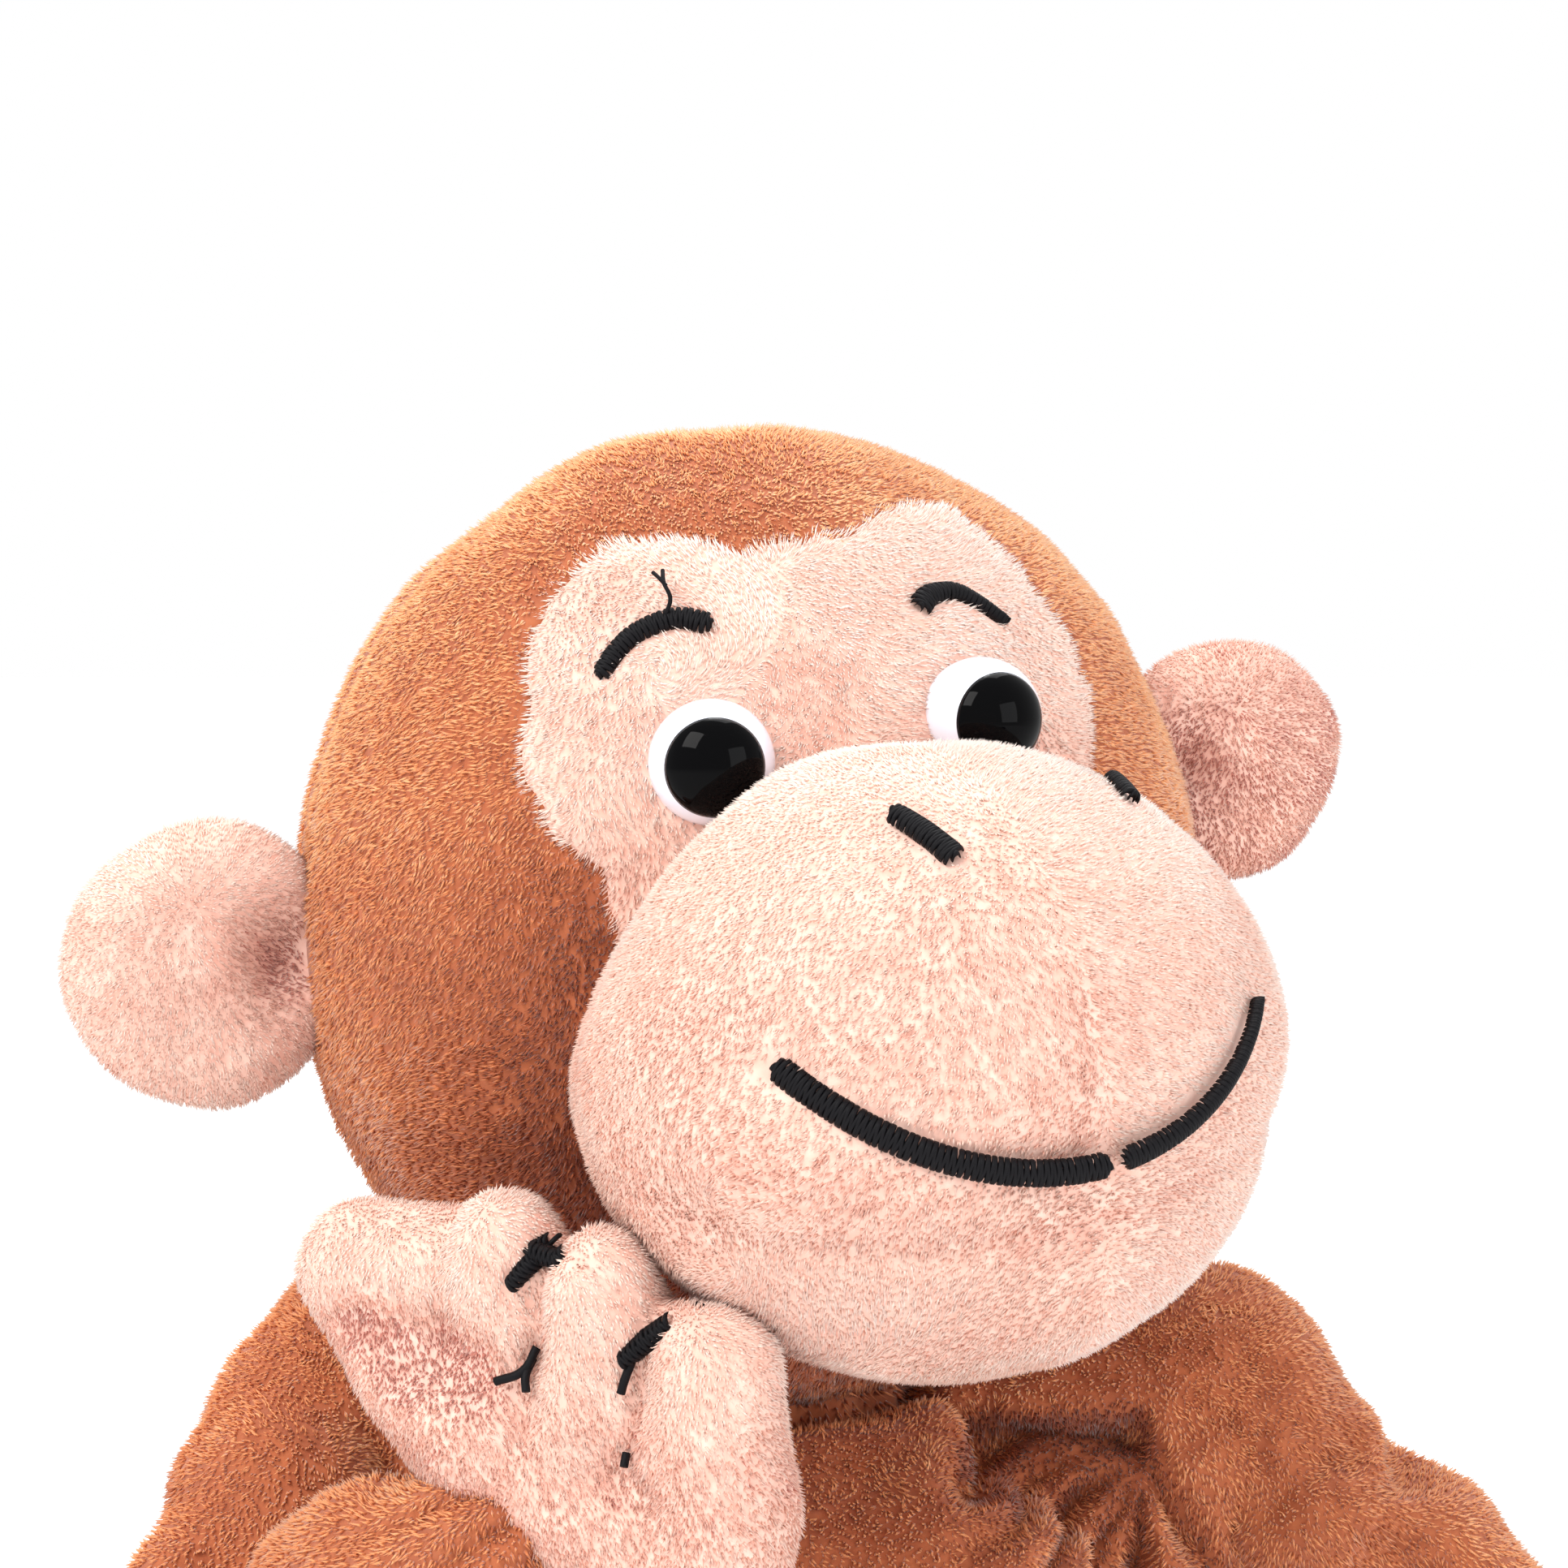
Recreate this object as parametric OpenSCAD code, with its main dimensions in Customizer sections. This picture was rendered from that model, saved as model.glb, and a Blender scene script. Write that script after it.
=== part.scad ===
// Seated stuffed monkey with its chin in its hand.
// Millimetres, +Z up. The origin is the middle of the seat's flat underside.
// The monkey faces -Y, so its right side is at -X.

/* [Head] */
// Half the width of the head
skull_x = 52; // [50:0.5:53]
// Half the depth of the head
skull_y = 40.5; // [39:0.5:42]
// Half the height of the head
skull_z = 55; // [54:0.5:56]
// Height of the middle of the head above the seat
head_up = 158; // [157:0.5:162]
// Turn of the face to its own left, in degrees
head_yaw = 20; // [18:0.5:24]
// Tilt of the head to its own right, in degrees
head_roll = -7.5; // [-9:0.5:-6]

/* [Face] */
// Half the width of the muzzle
muzzle_x = 32; // [30:0.5:32.5]
// Half the depth of the muzzle
muzzle_y = 32.5; // [31:0.5:33]
// Half the height of the muzzle
muzzle_z = 30.5; // [29:0.5:31]
// How far the muzzle's middle stands in front of the head's middle
muzzle_out = 47.5; // [46:0.5:48]
// How far the muzzle's middle lies below the head's middle
muzzle_drop = 8; // [7:0.5:9]
// Radius of an eye's plastic dome
eye_r = 6; // [5.5:0.1:6.2]
// Distance of each eye from the middle of the face
eye_side = 14; // [13:0.5:15]
// Radius of an eye's black disc
pupil_r = 4.7; // [4:0.1:4.9]
// Radius of an ear
ear_r = 15.2; // [14:0.2:16]
// Radius of the curve of the smile
smile_r = 28.5; // [27:0.5:30]
// Width of the embroidered lines
stitch_w = 2.2; // [1.8:0.1:2.6]

/* [Body] */
// Half the width of the torso
torso_x = 47; // [45:0.5:47.5]
// Half the depth of the torso
torso_y = 40; // [38:0.5:41]
// Height of the torso, from the seat to the neck
torso_h = 100; // [98:0.5:100]
// Radius of the sleeves at the shoulder
shoulder_r = 16; // [15:0.5:16]
// Radius of the sleeves at the elbow
elbow_r = 13; // [12:0.5:13.5]
// Radius of the sleeves at the wrist
wrist_r = 11; // [10:0.5:11.5]
// Thickness of a hand
hand_t = 12; // [11:0.5:12.5]
// Radius of a leg
leg_r = 15; // [14:0.5:15]
// Radius of the tail
tail_r = 6.5; // [6:0.25:7]
// Thickness of the plush, from its backing to the tips of its pile
plush_t = 2.4; // [2:0.1:2.6]

/* [Hidden] */
$fn = 64;
coarse = 40;        // facets round the curves of the fillings and of the muzzle's panels

brown = [0.66, 0.37, 0.20];
peach = [0.96, 0.80, 0.70];
fibre = [0.94, 0.94, 0.92];
thread = [0.05, 0.05, 0.06];

RIGHT = -1;
LEFT = 1;
gap = 0.1;          // between a cover and the filling inside it
clear = 0.6;        // between bodies that move on each other
bulge = 2.8;        // how square the torso's shoulders are
belly_up = 38;      // height of the torso's widest level
seat_depth = 52;    // vertical half-axis of the torso below its widest level
seat_t = 2;
seat_sides = 72;
split_gap = 0.05;   // half the gap between two panels at their seam

neck_r = 9;
neck_at = [0, 2, 108];
neck_foot = 90;     // height of the neck plug's lower ball
neck_room = 4;      // how far the head's underside stands back from the plug

eye_at = [eye_side, -35, 21];
eye_normal_yaw = 13.7;
eye_normal_pitch = 17.5;
pupil_t = 0.3;
gaze_drop = 3;
gaze_yaw = [14, -4]; // towards the head's own right: the right eye, the left eye
shank_r = 1.8;
shank_l = 11;
washer_r = 5;
washer_t = 1.2;
washer_in = 9;      // from the middle of the dome

ear_at = [61.5, -2, 6];
ear_t = 8;

mask_brow = [14, 28]; // middle of each of the mask's two upper lobes
mask_brow_r = 15;
mask_cheek = [16, 23];
mask_cheek_r = 14.5;
mask_foot = -12;    // hidden behind the muzzle
mask_dip = 41;      // level of the dip between the lobes
mask_side = 26;

brow_at = [13.5, 26.5];
brow_curve = 8.2;
nostril_mid = 4;     // the middle of the two nostrils, left of the middle of the face
nostril_from = [11.2, -61.5];
nostril_to = [8.8, -67.8];
chin_drop = 10;     // chin seam below the muzzle's middle
smile_up = 16.3;    // middle of the smile's curve above the head's middle
smile_half = 52;    // half the angle that the smile covers
proud = 0.8;        // how far embroidery stands out of the plush

shoulder = [[-45, -2, 103], [50, 0, 103]];
elbow = [[-55, -34, 80], [82, -10, 66]];
wrist = [[-19, -54, 113], [92, -20, 16.5]];
elbow_open = 17.5;  // from the elbow's pivot to the end of the upper sleeve
hand_yaw = -24;
// The left hand lies flat on the ground, at this distance from its wrist.
hand_low = [3, -4, hand_t / 2];
hand_low_yaw = 200;
finger_r = [7.6, 6.7, 6.7, 6.7]; // the thumb and the three fingers
hand_facets = 24;   // sides round a fingertip
// Middle lines of the thumb and of the three fingers, from the palm to the tip
fingers = [
    [[-4, 7], [-13, 14], [-18.5, 20.5]],
    [[-3, 9], [-3, 23.5]],
    [[5, 8], [6.8, 21.5]],
    [[16, -7], [19, 2], [18.3, 16.5]]
];
palm = [[-5, 6], [13, 1]];
palm_r = 9;
stitch_at = [[0.6, 19.5], [11.8, 16]]; // lower ends of the stitches between fingers
stitch_l = 7;
toe_stitch_side = 4.5;

hip = [28, -43, 16];
ankle = [50, -88, 15];
foot_r = 13;
foot_h = 14;        // from the heel's curve to the toes' curve
foot_len = 17;
foot_back = 1;      // from the end of the leg to the back of the foot
ankle_r = 8;        // the filling that runs on from the leg into the foot
sole_t = 2.5;
hip_cut = 18;

tail_curve = 42;    // radius of the arc that the tail lies in
tail_sweep = 100;   // how much of that arc it covers, in degrees
tail_tip = 0.75;    // radius at the tip, as a share of the radius at the root
tail_at = [0, 39];
tail_sides = 16;
pellet_top = 26;    // level that the pellets fill the seat to

function mirrored(p, side) = [side * p.x, p.y, p.z];
function capsule_outline(l, r1, r2, n) =
    let (lean = asin((r1 - r2) / l))
    concat(
        [for (i = [0:n]) let (a = -90 + (lean + 90) * i / n) [r1 * cos(a), r1 * sin(a)]],
        [for (i = [0:n]) let (a = lean + (90 - lean) * i / n) [r2 * cos(a), l + r2 * sin(a)]]
    );
function torso_radius(z, grow) =
    z < belly_up
    ? (torso_x + grow) * sqrt(1 - pow((belly_up - z) / seat_depth, 2))
    : (torso_x + grow) * pow(1 - pow((z - belly_up) / (torso_h + grow - belly_up), bulge), 1 / bulge);

// A body of revolution from p to q with ball ends of radius r1 and r2.
module limb(p, q, r1, r2) {
    d = q - p;
    translate(p)
        rotate([0, acos(d.z / norm(d)), atan2(d.y, d.x)])
            rotate_extrude()
                polygon(capsule_outline(norm(d), r1, r2, 10));
}

// Everything past distance from p along the line from p to q.
module beyond(p, q, distance, size = 60) {
    d = q - p;
    translate(p)
        rotate([0, acos(d.z / norm(d)), atan2(d.y, d.x)])
            translate([-size / 2, -size / 2, distance])
                cube([size, size, size]);
}

// A flat bar with round ends, between two points of a plane.
module bar(a, b, r) {
    d = b - a;
    translate(a) circle(r);
    translate(b) circle(r);
    translate(a)
        rotate(atan2(d.y, d.x))
            translate([0, -r])
                square([norm(d), 2 * r]);
}

// The ball is turned first, so that its poles lie off every plane that cuts it.
module ellipsoid(x, y, z) {
    scale([x, y, z] / z) rotate([33, 21, 47]) sphere(r = z);
}

// ---- Head, in its own frame: origin at the middle of the skull, face to -Y ----

module place_head() {
    translate([0, 0, head_up])
        rotate([0, head_roll, 0])
            rotate([0, 0, head_yaw])
                children();
}

module skull(grow = 0) {
    ellipsoid(skull_x + grow, skull_y + grow, skull_z + grow);
}

module muzzle(grow = 0) {
    translate([0, -muzzle_out, -muzzle_drop])
        ellipsoid(muzzle_x + grow, muzzle_y + grow, muzzle_z + grow);
}

// The hollow that the neck plug turns and nods in.
module neck_hollow() {
    translate(neck_at) sphere(r = neck_r + clear);
    translate([neck_at.x, neck_at.y, neck_foot])
        cylinder(r = neck_r + neck_room, h = neck_at.z - neck_foot);
}

module place_eye(side) {
    translate([side * eye_at.x, eye_at.y, eye_at.z])
        rotate([0, 0, side * eye_normal_yaw])
            rotate([90 - eye_normal_pitch, 0, 0])
                children();
}

module mask_outline() {
    for (side = [RIGHT, LEFT]) {
        translate([side * mask_brow.x, mask_brow.y]) circle(mask_brow_r);
        translate([side * mask_cheek.x, mask_cheek.y]) circle(mask_cheek_r);
    }
    translate([-mask_brow.x, mask_foot])
        square([2 * mask_brow.x, mask_dip - mask_foot]);
    translate([-mask_side, mask_foot])
        square([2 * mask_side, mask_cheek.y - mask_foot]);
}

module mask_prism() {
    rotate([90, 0, 0]) linear_extrude(height = 60) mask_outline();
}

module head_shell() {
    difference() {
        skull();
        skull(-plush_t);
    }
}

module head_front_panel() {
    color(brown) difference() {
        place_head() difference() {
            head_shell();
            translate([-100, split_gap, -100]) cube([200, 100, 200]);
            mask_prism();
            muzzle();
        }
        neck_hollow();
    }
}

module head_back_panel() {
    color(brown) difference() {
        place_head() difference() {
            head_shell();
            translate([-100, split_gap - 100, -100]) cube([200, 100, 200]);
        }
        neck_hollow();
    }
}

module head_stuffing() {
    $fn = coarse;
    color(fibre) difference() {
        place_head() difference() {
            skull(-plush_t - gap);
            for (side = [RIGHT, LEFT])
                place_eye(side)
                    translate([0, 0, -shank_l - gap])
                        cylinder(r = eye_r + gap, h = 2 * shank_l);
            muzzle(gap);
        }
        neck_hollow();
    }
}

module face_mask() {
    color(peach) place_head() difference() {
        intersection() {
            head_shell();
            mask_prism();
        }
        muzzle();
        for (side = [RIGHT, LEFT])
            place_eye(side) sphere(r = eye_r + gap);
    }
}

module muzzle_shell() {
    difference() {
        muzzle();
        muzzle(-plush_t);
    }
}

// The muzzle's fabric in front of the face, on the upper or the lower side of the chin seam.
module muzzle_piece(from, size) {
    color(peach) place_head() intersection() {
        difference() {
            muzzle_shell();
            skull(-plush_t - 2 * gap);
            for (side = [RIGHT, LEFT])
                place_eye(side) sphere(r = eye_r + pupil_t + gap);
        }
        translate(from) cube(size);
    }
}

module muzzle_right_panel() {
    $fn = coarse;
    muzzle_piece([-60 - split_gap, -100, -muzzle_drop - chin_drop], [60, 100, 60]);
}

module muzzle_left_panel() {
    $fn = coarse;
    muzzle_piece([split_gap, -100, -muzzle_drop - chin_drop], [60, 100, 60]);
}

module chin_panel() {
    $fn = coarse;
    muzzle_piece([-60, -100, -60 - muzzle_drop - chin_drop - split_gap], [120, 100, 60]);
}

module muzzle_stuffing() {
    color(fibre) place_head() difference() {
        muzzle(-plush_t - gap);
        skull(-plush_t - gap);
    }
}

module eye(side) {
    color("white") place_head() place_eye(side) {
        sphere(r = eye_r);
        translate([0, 0, -shank_l]) cylinder(r = shank_r, h = shank_l);
    }
}

module eye_right() { eye(RIGHT); }
module eye_left() { eye(LEFT); }

module pupil(side) {
    gaze = side == RIGHT ? gaze_yaw[0] : gaze_yaw[1];
    color(thread) place_head() translate([side * eye_at.x, eye_at.y, eye_at.z])
        rotate([90 + gaze_drop, 0, -gaze])
            intersection() {
                difference() {
                    sphere(r = eye_r + pupil_t);
                    sphere(r = eye_r);
                }
                cylinder(r = pupil_r, h = 2 * eye_r);
            }
}

module pupil_right() { pupil(RIGHT); }
module pupil_left() { pupil(LEFT); }

module eye_washer(side) {
    color("white") place_head() place_eye(side)
        translate([0, 0, -washer_in])
            difference() {
                cylinder(r = washer_r, h = washer_t);
                translate([0, 0, -1]) cylinder(r = shank_r + gap / 2, h = washer_t + 2);
            }
}

module eye_washer_right() { eye_washer(RIGHT); }
module eye_washer_left() { eye_washer(LEFT); }

module brow(side) {
    color(thread) place_head() intersection() {
        difference() {
            skull(proud);
            skull();
        }
        rotate([90, 0, 0]) linear_extrude(height = 60)
            translate([side * brow_at.x, brow_at.y])
                intersection() {
                    difference() {
                        circle(brow_curve + stitch_w / 2);
                        circle(brow_curve - stitch_w / 2);
                    }
                    polygon([[0, 0], [-side * 7, 20], [side * 12, 20], [side * 20, 9]]);
                }
    }
}

module brow_right() { brow(RIGHT); }
module brow_left() { brow(LEFT); }

module nostril(side) {
    color(thread) place_head() intersection() {
        difference() {
            muzzle(proud);
            muzzle();
        }
        linear_extrude(height = 40)
            bar([nostril_mid + side * nostril_from.x, nostril_from.y],
                [nostril_mid + side * nostril_to.x, nostril_to.y], stitch_w / 2);
    }
}

module nostril_right() { nostril(RIGHT); }
module nostril_left() { nostril(LEFT); }

module mouth_line(side) {
    tip = 2 * smile_r;
    color(thread) place_head() intersection() {
        difference() {
            muzzle(proud);
            muzzle();
        }
        translate([0, -muzzle_out, 0]) rotate([90, 0, 0]) linear_extrude(height = 2 * muzzle_y)
            translate([0, smile_up])
                intersection() {
                    difference() {
                        circle(smile_r + stitch_w / 2);
                        circle(smile_r - stitch_w / 2);
                    }
                    polygon([[side * 0.3, 0], [side * 0.3, -tip],
                             [side * tip, -tip], [side * tip, -tip / tan(smile_half)]]);
                }
    }
}

module mouth_line_right() { mouth_line(RIGHT); }
module mouth_line_left() { mouth_line(LEFT); }

// Half of a lens, its flat side at z = 0 and its crown at z = t / 2.
module half_lens(r, t) {
    steps = 8;
    rotate_extrude()
        polygon(concat([[0, 0]],
            [for (i = [0:steps]) let (a = 90 * i / steps) [r * cos(a), t / 2 * sin(a)]]));
}

module ear_half(side, turn) {
    color(peach) place_head() difference() {
        translate([side * ear_at.x, ear_at.y - turn * split_gap, ear_at.z])
            rotate([turn * 90, 0, 0])
                half_lens(ear_r, ear_t);
        skull(gap);
    }
}

module ear_right_front() { ear_half(RIGHT, 1); }
module ear_right_back() { ear_half(RIGHT, -1); }
module ear_left_front() { ear_half(LEFT, 1); }
module ear_left_back() { ear_half(LEFT, -1); }

// ---- Neck ----

module neck_stuffing() {
    color(fibre)
        limb([neck_at.x, neck_at.y, neck_foot], neck_at, neck_r, neck_r - 0.01);
}

// ---- Torso ----

module torso_solid(grow, foot) {
    steps = 14;
    top = torso_h + grow;
    scale([1, torso_y / torso_x, 1])
        rotate_extrude()
            polygon(concat([[0, foot]],
                [for (i = [0:steps])
                    let (z = foot + (top - foot) * (1 - pow(1 - i / steps, 2)))
                    [max(0, torso_radius(min(z, top - 0.001), grow)), z]],
                [[0, top]]));
}

// Everything that turns in or against the torso.
module torso_cuts() {
    translate([neck_at.x, neck_at.y, 0]) {
        translate([0, 0, neck_foot]) sphere(r = neck_r + clear);
        translate([0, 0, neck_foot]) cylinder(r = neck_r + clear, h = 40);
    }
    for (side = [RIGHT, LEFT])
        translate(mirrored(hip, side)) sphere(r = hip_cut);
}

module torso_panel(from, size) {
    color(brown) difference() {
        torso_solid(0, seat_t + gap);
        torso_solid(-plush_t, seat_t + plush_t);
        translate(from) cube(size);
        torso_cuts();
    }
}

module torso_front_panel() { torso_panel([-100, -split_gap, -10], [200, 100, 200]); }
module torso_back_panel() { torso_panel([-100, split_gap - 100, -10], [200, 100, 200]); }

module seat_panel() {
    seat_r = torso_radius(seat_t, 0) - 1;
    color(brown) difference() {
        linear_extrude(height = seat_t)
            polygon([for (i = [0:seat_sides - 1]) let (a = 360 * i / seat_sides)
                [seat_r * cos(a), seat_r * torso_y / torso_x * sin(a)]]);
        torso_cuts();
    }
}

// The inside of the torso, less everything in a slab from one level to another.
module torso_filling(from, to) {
    $fn = coarse;
    difference() {
        torso_solid(-plush_t - gap, seat_t + plush_t + gap);
        translate([-100, -100, from]) cube([200, 200, to - from]);
        torso_cuts();
    }
}

module pellet_bag() {
    color("lightgray") torso_filling(pellet_top, 2 * torso_h);
}

module torso_stuffing() {
    color(fibre) torso_filling(-1, pellet_top + gap);
}

// ---- Arms: index 0 is the right arm, 1 the left ----

module upper_arm(i, shrink) {
    difference() {
        limb(shoulder[i], elbow[i], shoulder_r - shrink, elbow_r + 1 - shrink);
        beyond(elbow[i], shoulder[i], -40 + elbow_open, 40);
    }
}

module upper_sleeve(i) {
    color(brown) difference() {
        upper_arm(i, 0);
        limb(shoulder[i], elbow[i], shoulder_r - plush_t, elbow_r + 1 - plush_t);
    }
}

module upper_stuffing(i) {
    color(fibre) upper_arm(i, plush_t + gap);
}

module forearm(i, shrink) {
    difference() {
        limb(elbow[i], wrist[i], elbow_r - shrink, wrist_r - shrink);
        beyond(elbow[i], wrist[i], norm(wrist[i] - elbow[i]));
    }
}

module forearm_sleeve(i) {
    color(brown) difference() {
        forearm(i, 0);
        limb(elbow[i], wrist[i], elbow_r - plush_t, wrist_r - plush_t);
    }
}

module forearm_stuffing(i) {
    color(fibre) forearm(i, plush_t + gap);
}

module upper_sleeve_right() { upper_sleeve(0); }
module upper_stuffing_right() { upper_stuffing(0); }
module forearm_sleeve_right() { forearm_sleeve(0); }
module forearm_stuffing_right() { forearm_stuffing(0); }
module upper_sleeve_left() { upper_sleeve(1); }
module upper_stuffing_left() { upper_stuffing(1); }
module forearm_sleeve_left() { forearm_sleeve(1); }
module forearm_stuffing_left() { forearm_stuffing(1); }

// A hand lies in a plane: x across the palm, y towards the fingertips.
module hand_outline(shrink) {
    $fn = hand_facets;
    offset(delta = -shrink) {
        for (i = [0:len(fingers) - 1])
            for (k = [0:len(fingers[i]) - 2])
                bar(fingers[i][k], fingers[i][k + 1], finger_r[i]);
        bar(palm[0], palm[1], palm_r);
    }
}

module place_hand(i) {
    if (i == 0)
        translate(wrist[0]) rotate([0, 0, hand_yaw]) rotate([90, 0, 0]) children();
    else
        translate([wrist[1].x + hand_low.x, wrist[1].y + hand_low.y, hand_low.z])
            rotate([0, 0, hand_low_yaw]) mirror([1, 0, 0]) children();
}

module hand_half(i, turn) {
    color(peach) difference() {
        place_hand(i)
            difference() {
                translate([0, 0, turn > 0 ? split_gap : -hand_t / 2])
                    linear_extrude(height = hand_t / 2 - split_gap) hand_outline(0);
                translate([0, 0, plush_t - hand_t / 2])
                    linear_extrude(height = hand_t - 2 * plush_t) hand_outline(plush_t);
            }
        limb(elbow[i], wrist[i], elbow_r + gap, wrist_r + gap);
        place_head() muzzle(clear + 0.4);
    }
}

module hand_stuffing(i) {
    color(fibre) difference() {
        place_hand(i)
            translate([0, 0, plush_t + gap - hand_t / 2])
                linear_extrude(height = hand_t - 2 * (plush_t + gap)) hand_outline(plush_t + gap);
        limb(elbow[i], wrist[i], elbow_r + gap, wrist_r + gap);
        place_head() muzzle(clear + 0.4);
    }
}

module finger_stitches(i) {
    color(thread) place_hand(i)
        for (at = stitch_at)
            translate([at.x - proud, at.y, hand_t / 2 + gap / 2]) cube([2 * proud, stitch_l, proud]);
}

module hand_back_right() { hand_half(0, 1); }
module hand_palm_right() { hand_half(0, -1); }
module hand_stuffing_right() { hand_stuffing(0); }
module finger_stitches_right() { finger_stitches(0); }
module hand_back_left() { hand_half(1, 1); }
module hand_palm_left() { hand_half(1, -1); }
module hand_stuffing_left() { hand_stuffing(1); }
module finger_stitches_left() { finger_stitches(1); }

// ---- Legs ----

module leg(side, shrink) {
    difference() {
        limb(mirrored(hip, side), mirrored(ankle, side), leg_r - shrink, leg_r - 1 - shrink);
        beyond(mirrored(hip, side), mirrored(ankle, side), norm(ankle - hip));
    }
}

// A foot stands at the end of the leg: x across it, y up to the toes, z out of the sole.
module place_foot(side) {
    translate([side * ankle.x, ankle.y, 0])
        rotate([0, 0, side * atan2(ankle.x - hip.x, hip.y - ankle.y)])
            rotate([90, 0, 0])
                children();
}

module foot_outline(shrink) {
    bar([0, foot_r], [0, foot_r + foot_h], foot_r - shrink);
}

// Where the leg's filling runs on into the foot.
module ankle_channel(r) {
    translate([0, ankle.z, -foot_back]) cylinder(r = r, h = plush_t + 3 * foot_back);
}

module leg_sleeve(side) {
    color(brown) difference() {
        leg(side, 0);
        limb(mirrored(hip, side), mirrored(ankle, side), leg_r - plush_t, leg_r - 1 - plush_t);
    }
}

module foot_cover(side) {
    color(peach) place_foot(side)
        difference() {
            translate([0, 0, foot_back]) linear_extrude(height = foot_len) foot_outline(0);
            translate([0, 0, foot_back + plush_t])
                linear_extrude(height = foot_len) foot_outline(plush_t);
            ankle_channel(ankle_r + gap);
        }
}

module foot_sole(side) {
    color(peach) place_foot(side)
        translate([0, 0, foot_back + foot_len + gap])
            linear_extrude(height = sole_t) foot_outline(0.5);
}

module leg_stuffing(side) {
    color(fibre) {
        leg(side, plush_t + gap);
        place_foot(side) {
            translate([0, 0, foot_back + plush_t + gap])
                linear_extrude(height = foot_len - plush_t - gap) foot_outline(plush_t + gap);
            ankle_channel(ankle_r);
        }
    }
}

module toe_stitches(side) {
    color(thread) place_foot(side)
        for (side_x = [-toe_stitch_side, toe_stitch_side])
            translate([side_x - proud, foot_r + foot_h, foot_back + foot_len + gap + sole_t])
                cube([2 * proud, stitch_l, proud]);
}

module leg_sleeve_right() { leg_sleeve(RIGHT); }
module leg_stuffing_right() { leg_stuffing(RIGHT); }
module foot_cover_right() { foot_cover(RIGHT); }
module foot_sole_right() { foot_sole(RIGHT); }
module toe_stitches_right() { toe_stitches(RIGHT); }
module leg_sleeve_left() { leg_sleeve(LEFT); }
module leg_stuffing_left() { leg_stuffing(LEFT); }
module foot_cover_left() { foot_cover(LEFT); }
module foot_sole_left() { foot_sole(LEFT); }
module toe_stitches_left() { toe_stitches(LEFT); }

// ---- Tail: an arc that lies on the ground behind the seat ----

// Each ring is [how far along the arc, in degrees, radius].
function tail_rings(shrink) =
    let (root = tail_r - shrink, tip = tail_r * tail_tip - shrink, one = 180 / PI / tail_curve)
    concat(
        [for (a = [-75:25:-25]) [root * sin(a) * one, root * cos(a)]],
        [for (i = [0:8]) [tail_sweep * i / 8, root + (tip - root) * i / 8]],
        [for (a = [25:25:75]) [tail_sweep + tip * sin(a) * one, tip * cos(a)]]
    );

module tail_solid(shrink) {
    rings = tail_rings(shrink);
    n = tail_sides;
    last = len(rings) - 1;
    points = [
        for (ring = rings, k = [0:n - 1])
            let (
                turn = 180 - ring[0],
                across = tail_curve + ring[1] * cos(360 * k / n)
            )
            [
                tail_at.x + tail_curve + across * cos(turn),
                tail_at.y + across * sin(turn),
                tail_r + ring[1] * sin(360 * k / n)
            ]
    ];
    sides = [
        for (j = [0:last - 1], k = [0:n - 1])
            let (next = (k + 1) % n)
            [j * n + k, (j + 1) * n + k, (j + 1) * n + next, j * n + next]
    ];
    ends = [[for (k = [0:n - 1]) k], [for (k = [n - 1:-1:0]) last * n + k]];
    polyhedron(points, concat(sides, ends));
}

// The sleeve is open where it is sewn to the torso.
module tail_sleeve() {
    color(brown) difference() {
        tail_solid(0);
        tail_solid(plush_t);
        translate([-tail_r, tail_at.y - 2 * tail_r, 0]) cube([2 * tail_r, tail_r, 2 * tail_r]);
        translate([tail_at.x, tail_at.y - tail_r, tail_r])
            rotate([-90, 0, 0]) cylinder(r = tail_r - plush_t, h = tail_r, $fn = 12);
    }
}

module tail_stuffing() {
    color(fibre) tail_solid(plush_t + gap);
}

torso_front_panel();
torso_back_panel();
seat_panel();
torso_stuffing();
pellet_bag();
neck_stuffing();
head_front_panel();
head_back_panel();
head_stuffing();
face_mask();
muzzle_right_panel();
muzzle_left_panel();
chin_panel();
muzzle_stuffing();
eye_right();
eye_left();
pupil_right();
pupil_left();
eye_washer_right();
eye_washer_left();
brow_right();
brow_left();
nostril_right();
nostril_left();
mouth_line_right();
mouth_line_left();
ear_right_front();
ear_right_back();
ear_left_front();
ear_left_back();
upper_sleeve_right();
upper_stuffing_right();
forearm_sleeve_right();
forearm_stuffing_right();
hand_back_right();
hand_palm_right();
hand_stuffing_right();
finger_stitches_right();
upper_sleeve_left();
upper_stuffing_left();
forearm_sleeve_left();
forearm_stuffing_left();
hand_back_left();
hand_palm_left();
hand_stuffing_left();
finger_stitches_left();
leg_sleeve_right();
leg_stuffing_right();
foot_cover_right();
foot_sole_right();
toe_stitches_right();
leg_sleeve_left();
leg_stuffing_left();
foot_cover_left();
foot_sole_left();
toe_stitches_left();
tail_sleeve();
tail_stuffing();
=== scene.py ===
"""Looks of a seated stuffed monkey: plush covers, pile, glossy eyes and black embroidery.

Lengths are metres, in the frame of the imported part. The monkey faces -Y and its right side is at -X.
"""

import logging
import math
from dataclasses import dataclass, field
from enum import Enum
from typing import Callable, Iterable, Sequence

import bmesh
import bpy
import numpy as np
from mathutils import Euler, Matrix, Vector
from mathutils.bvhtree import BVHTree


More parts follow.
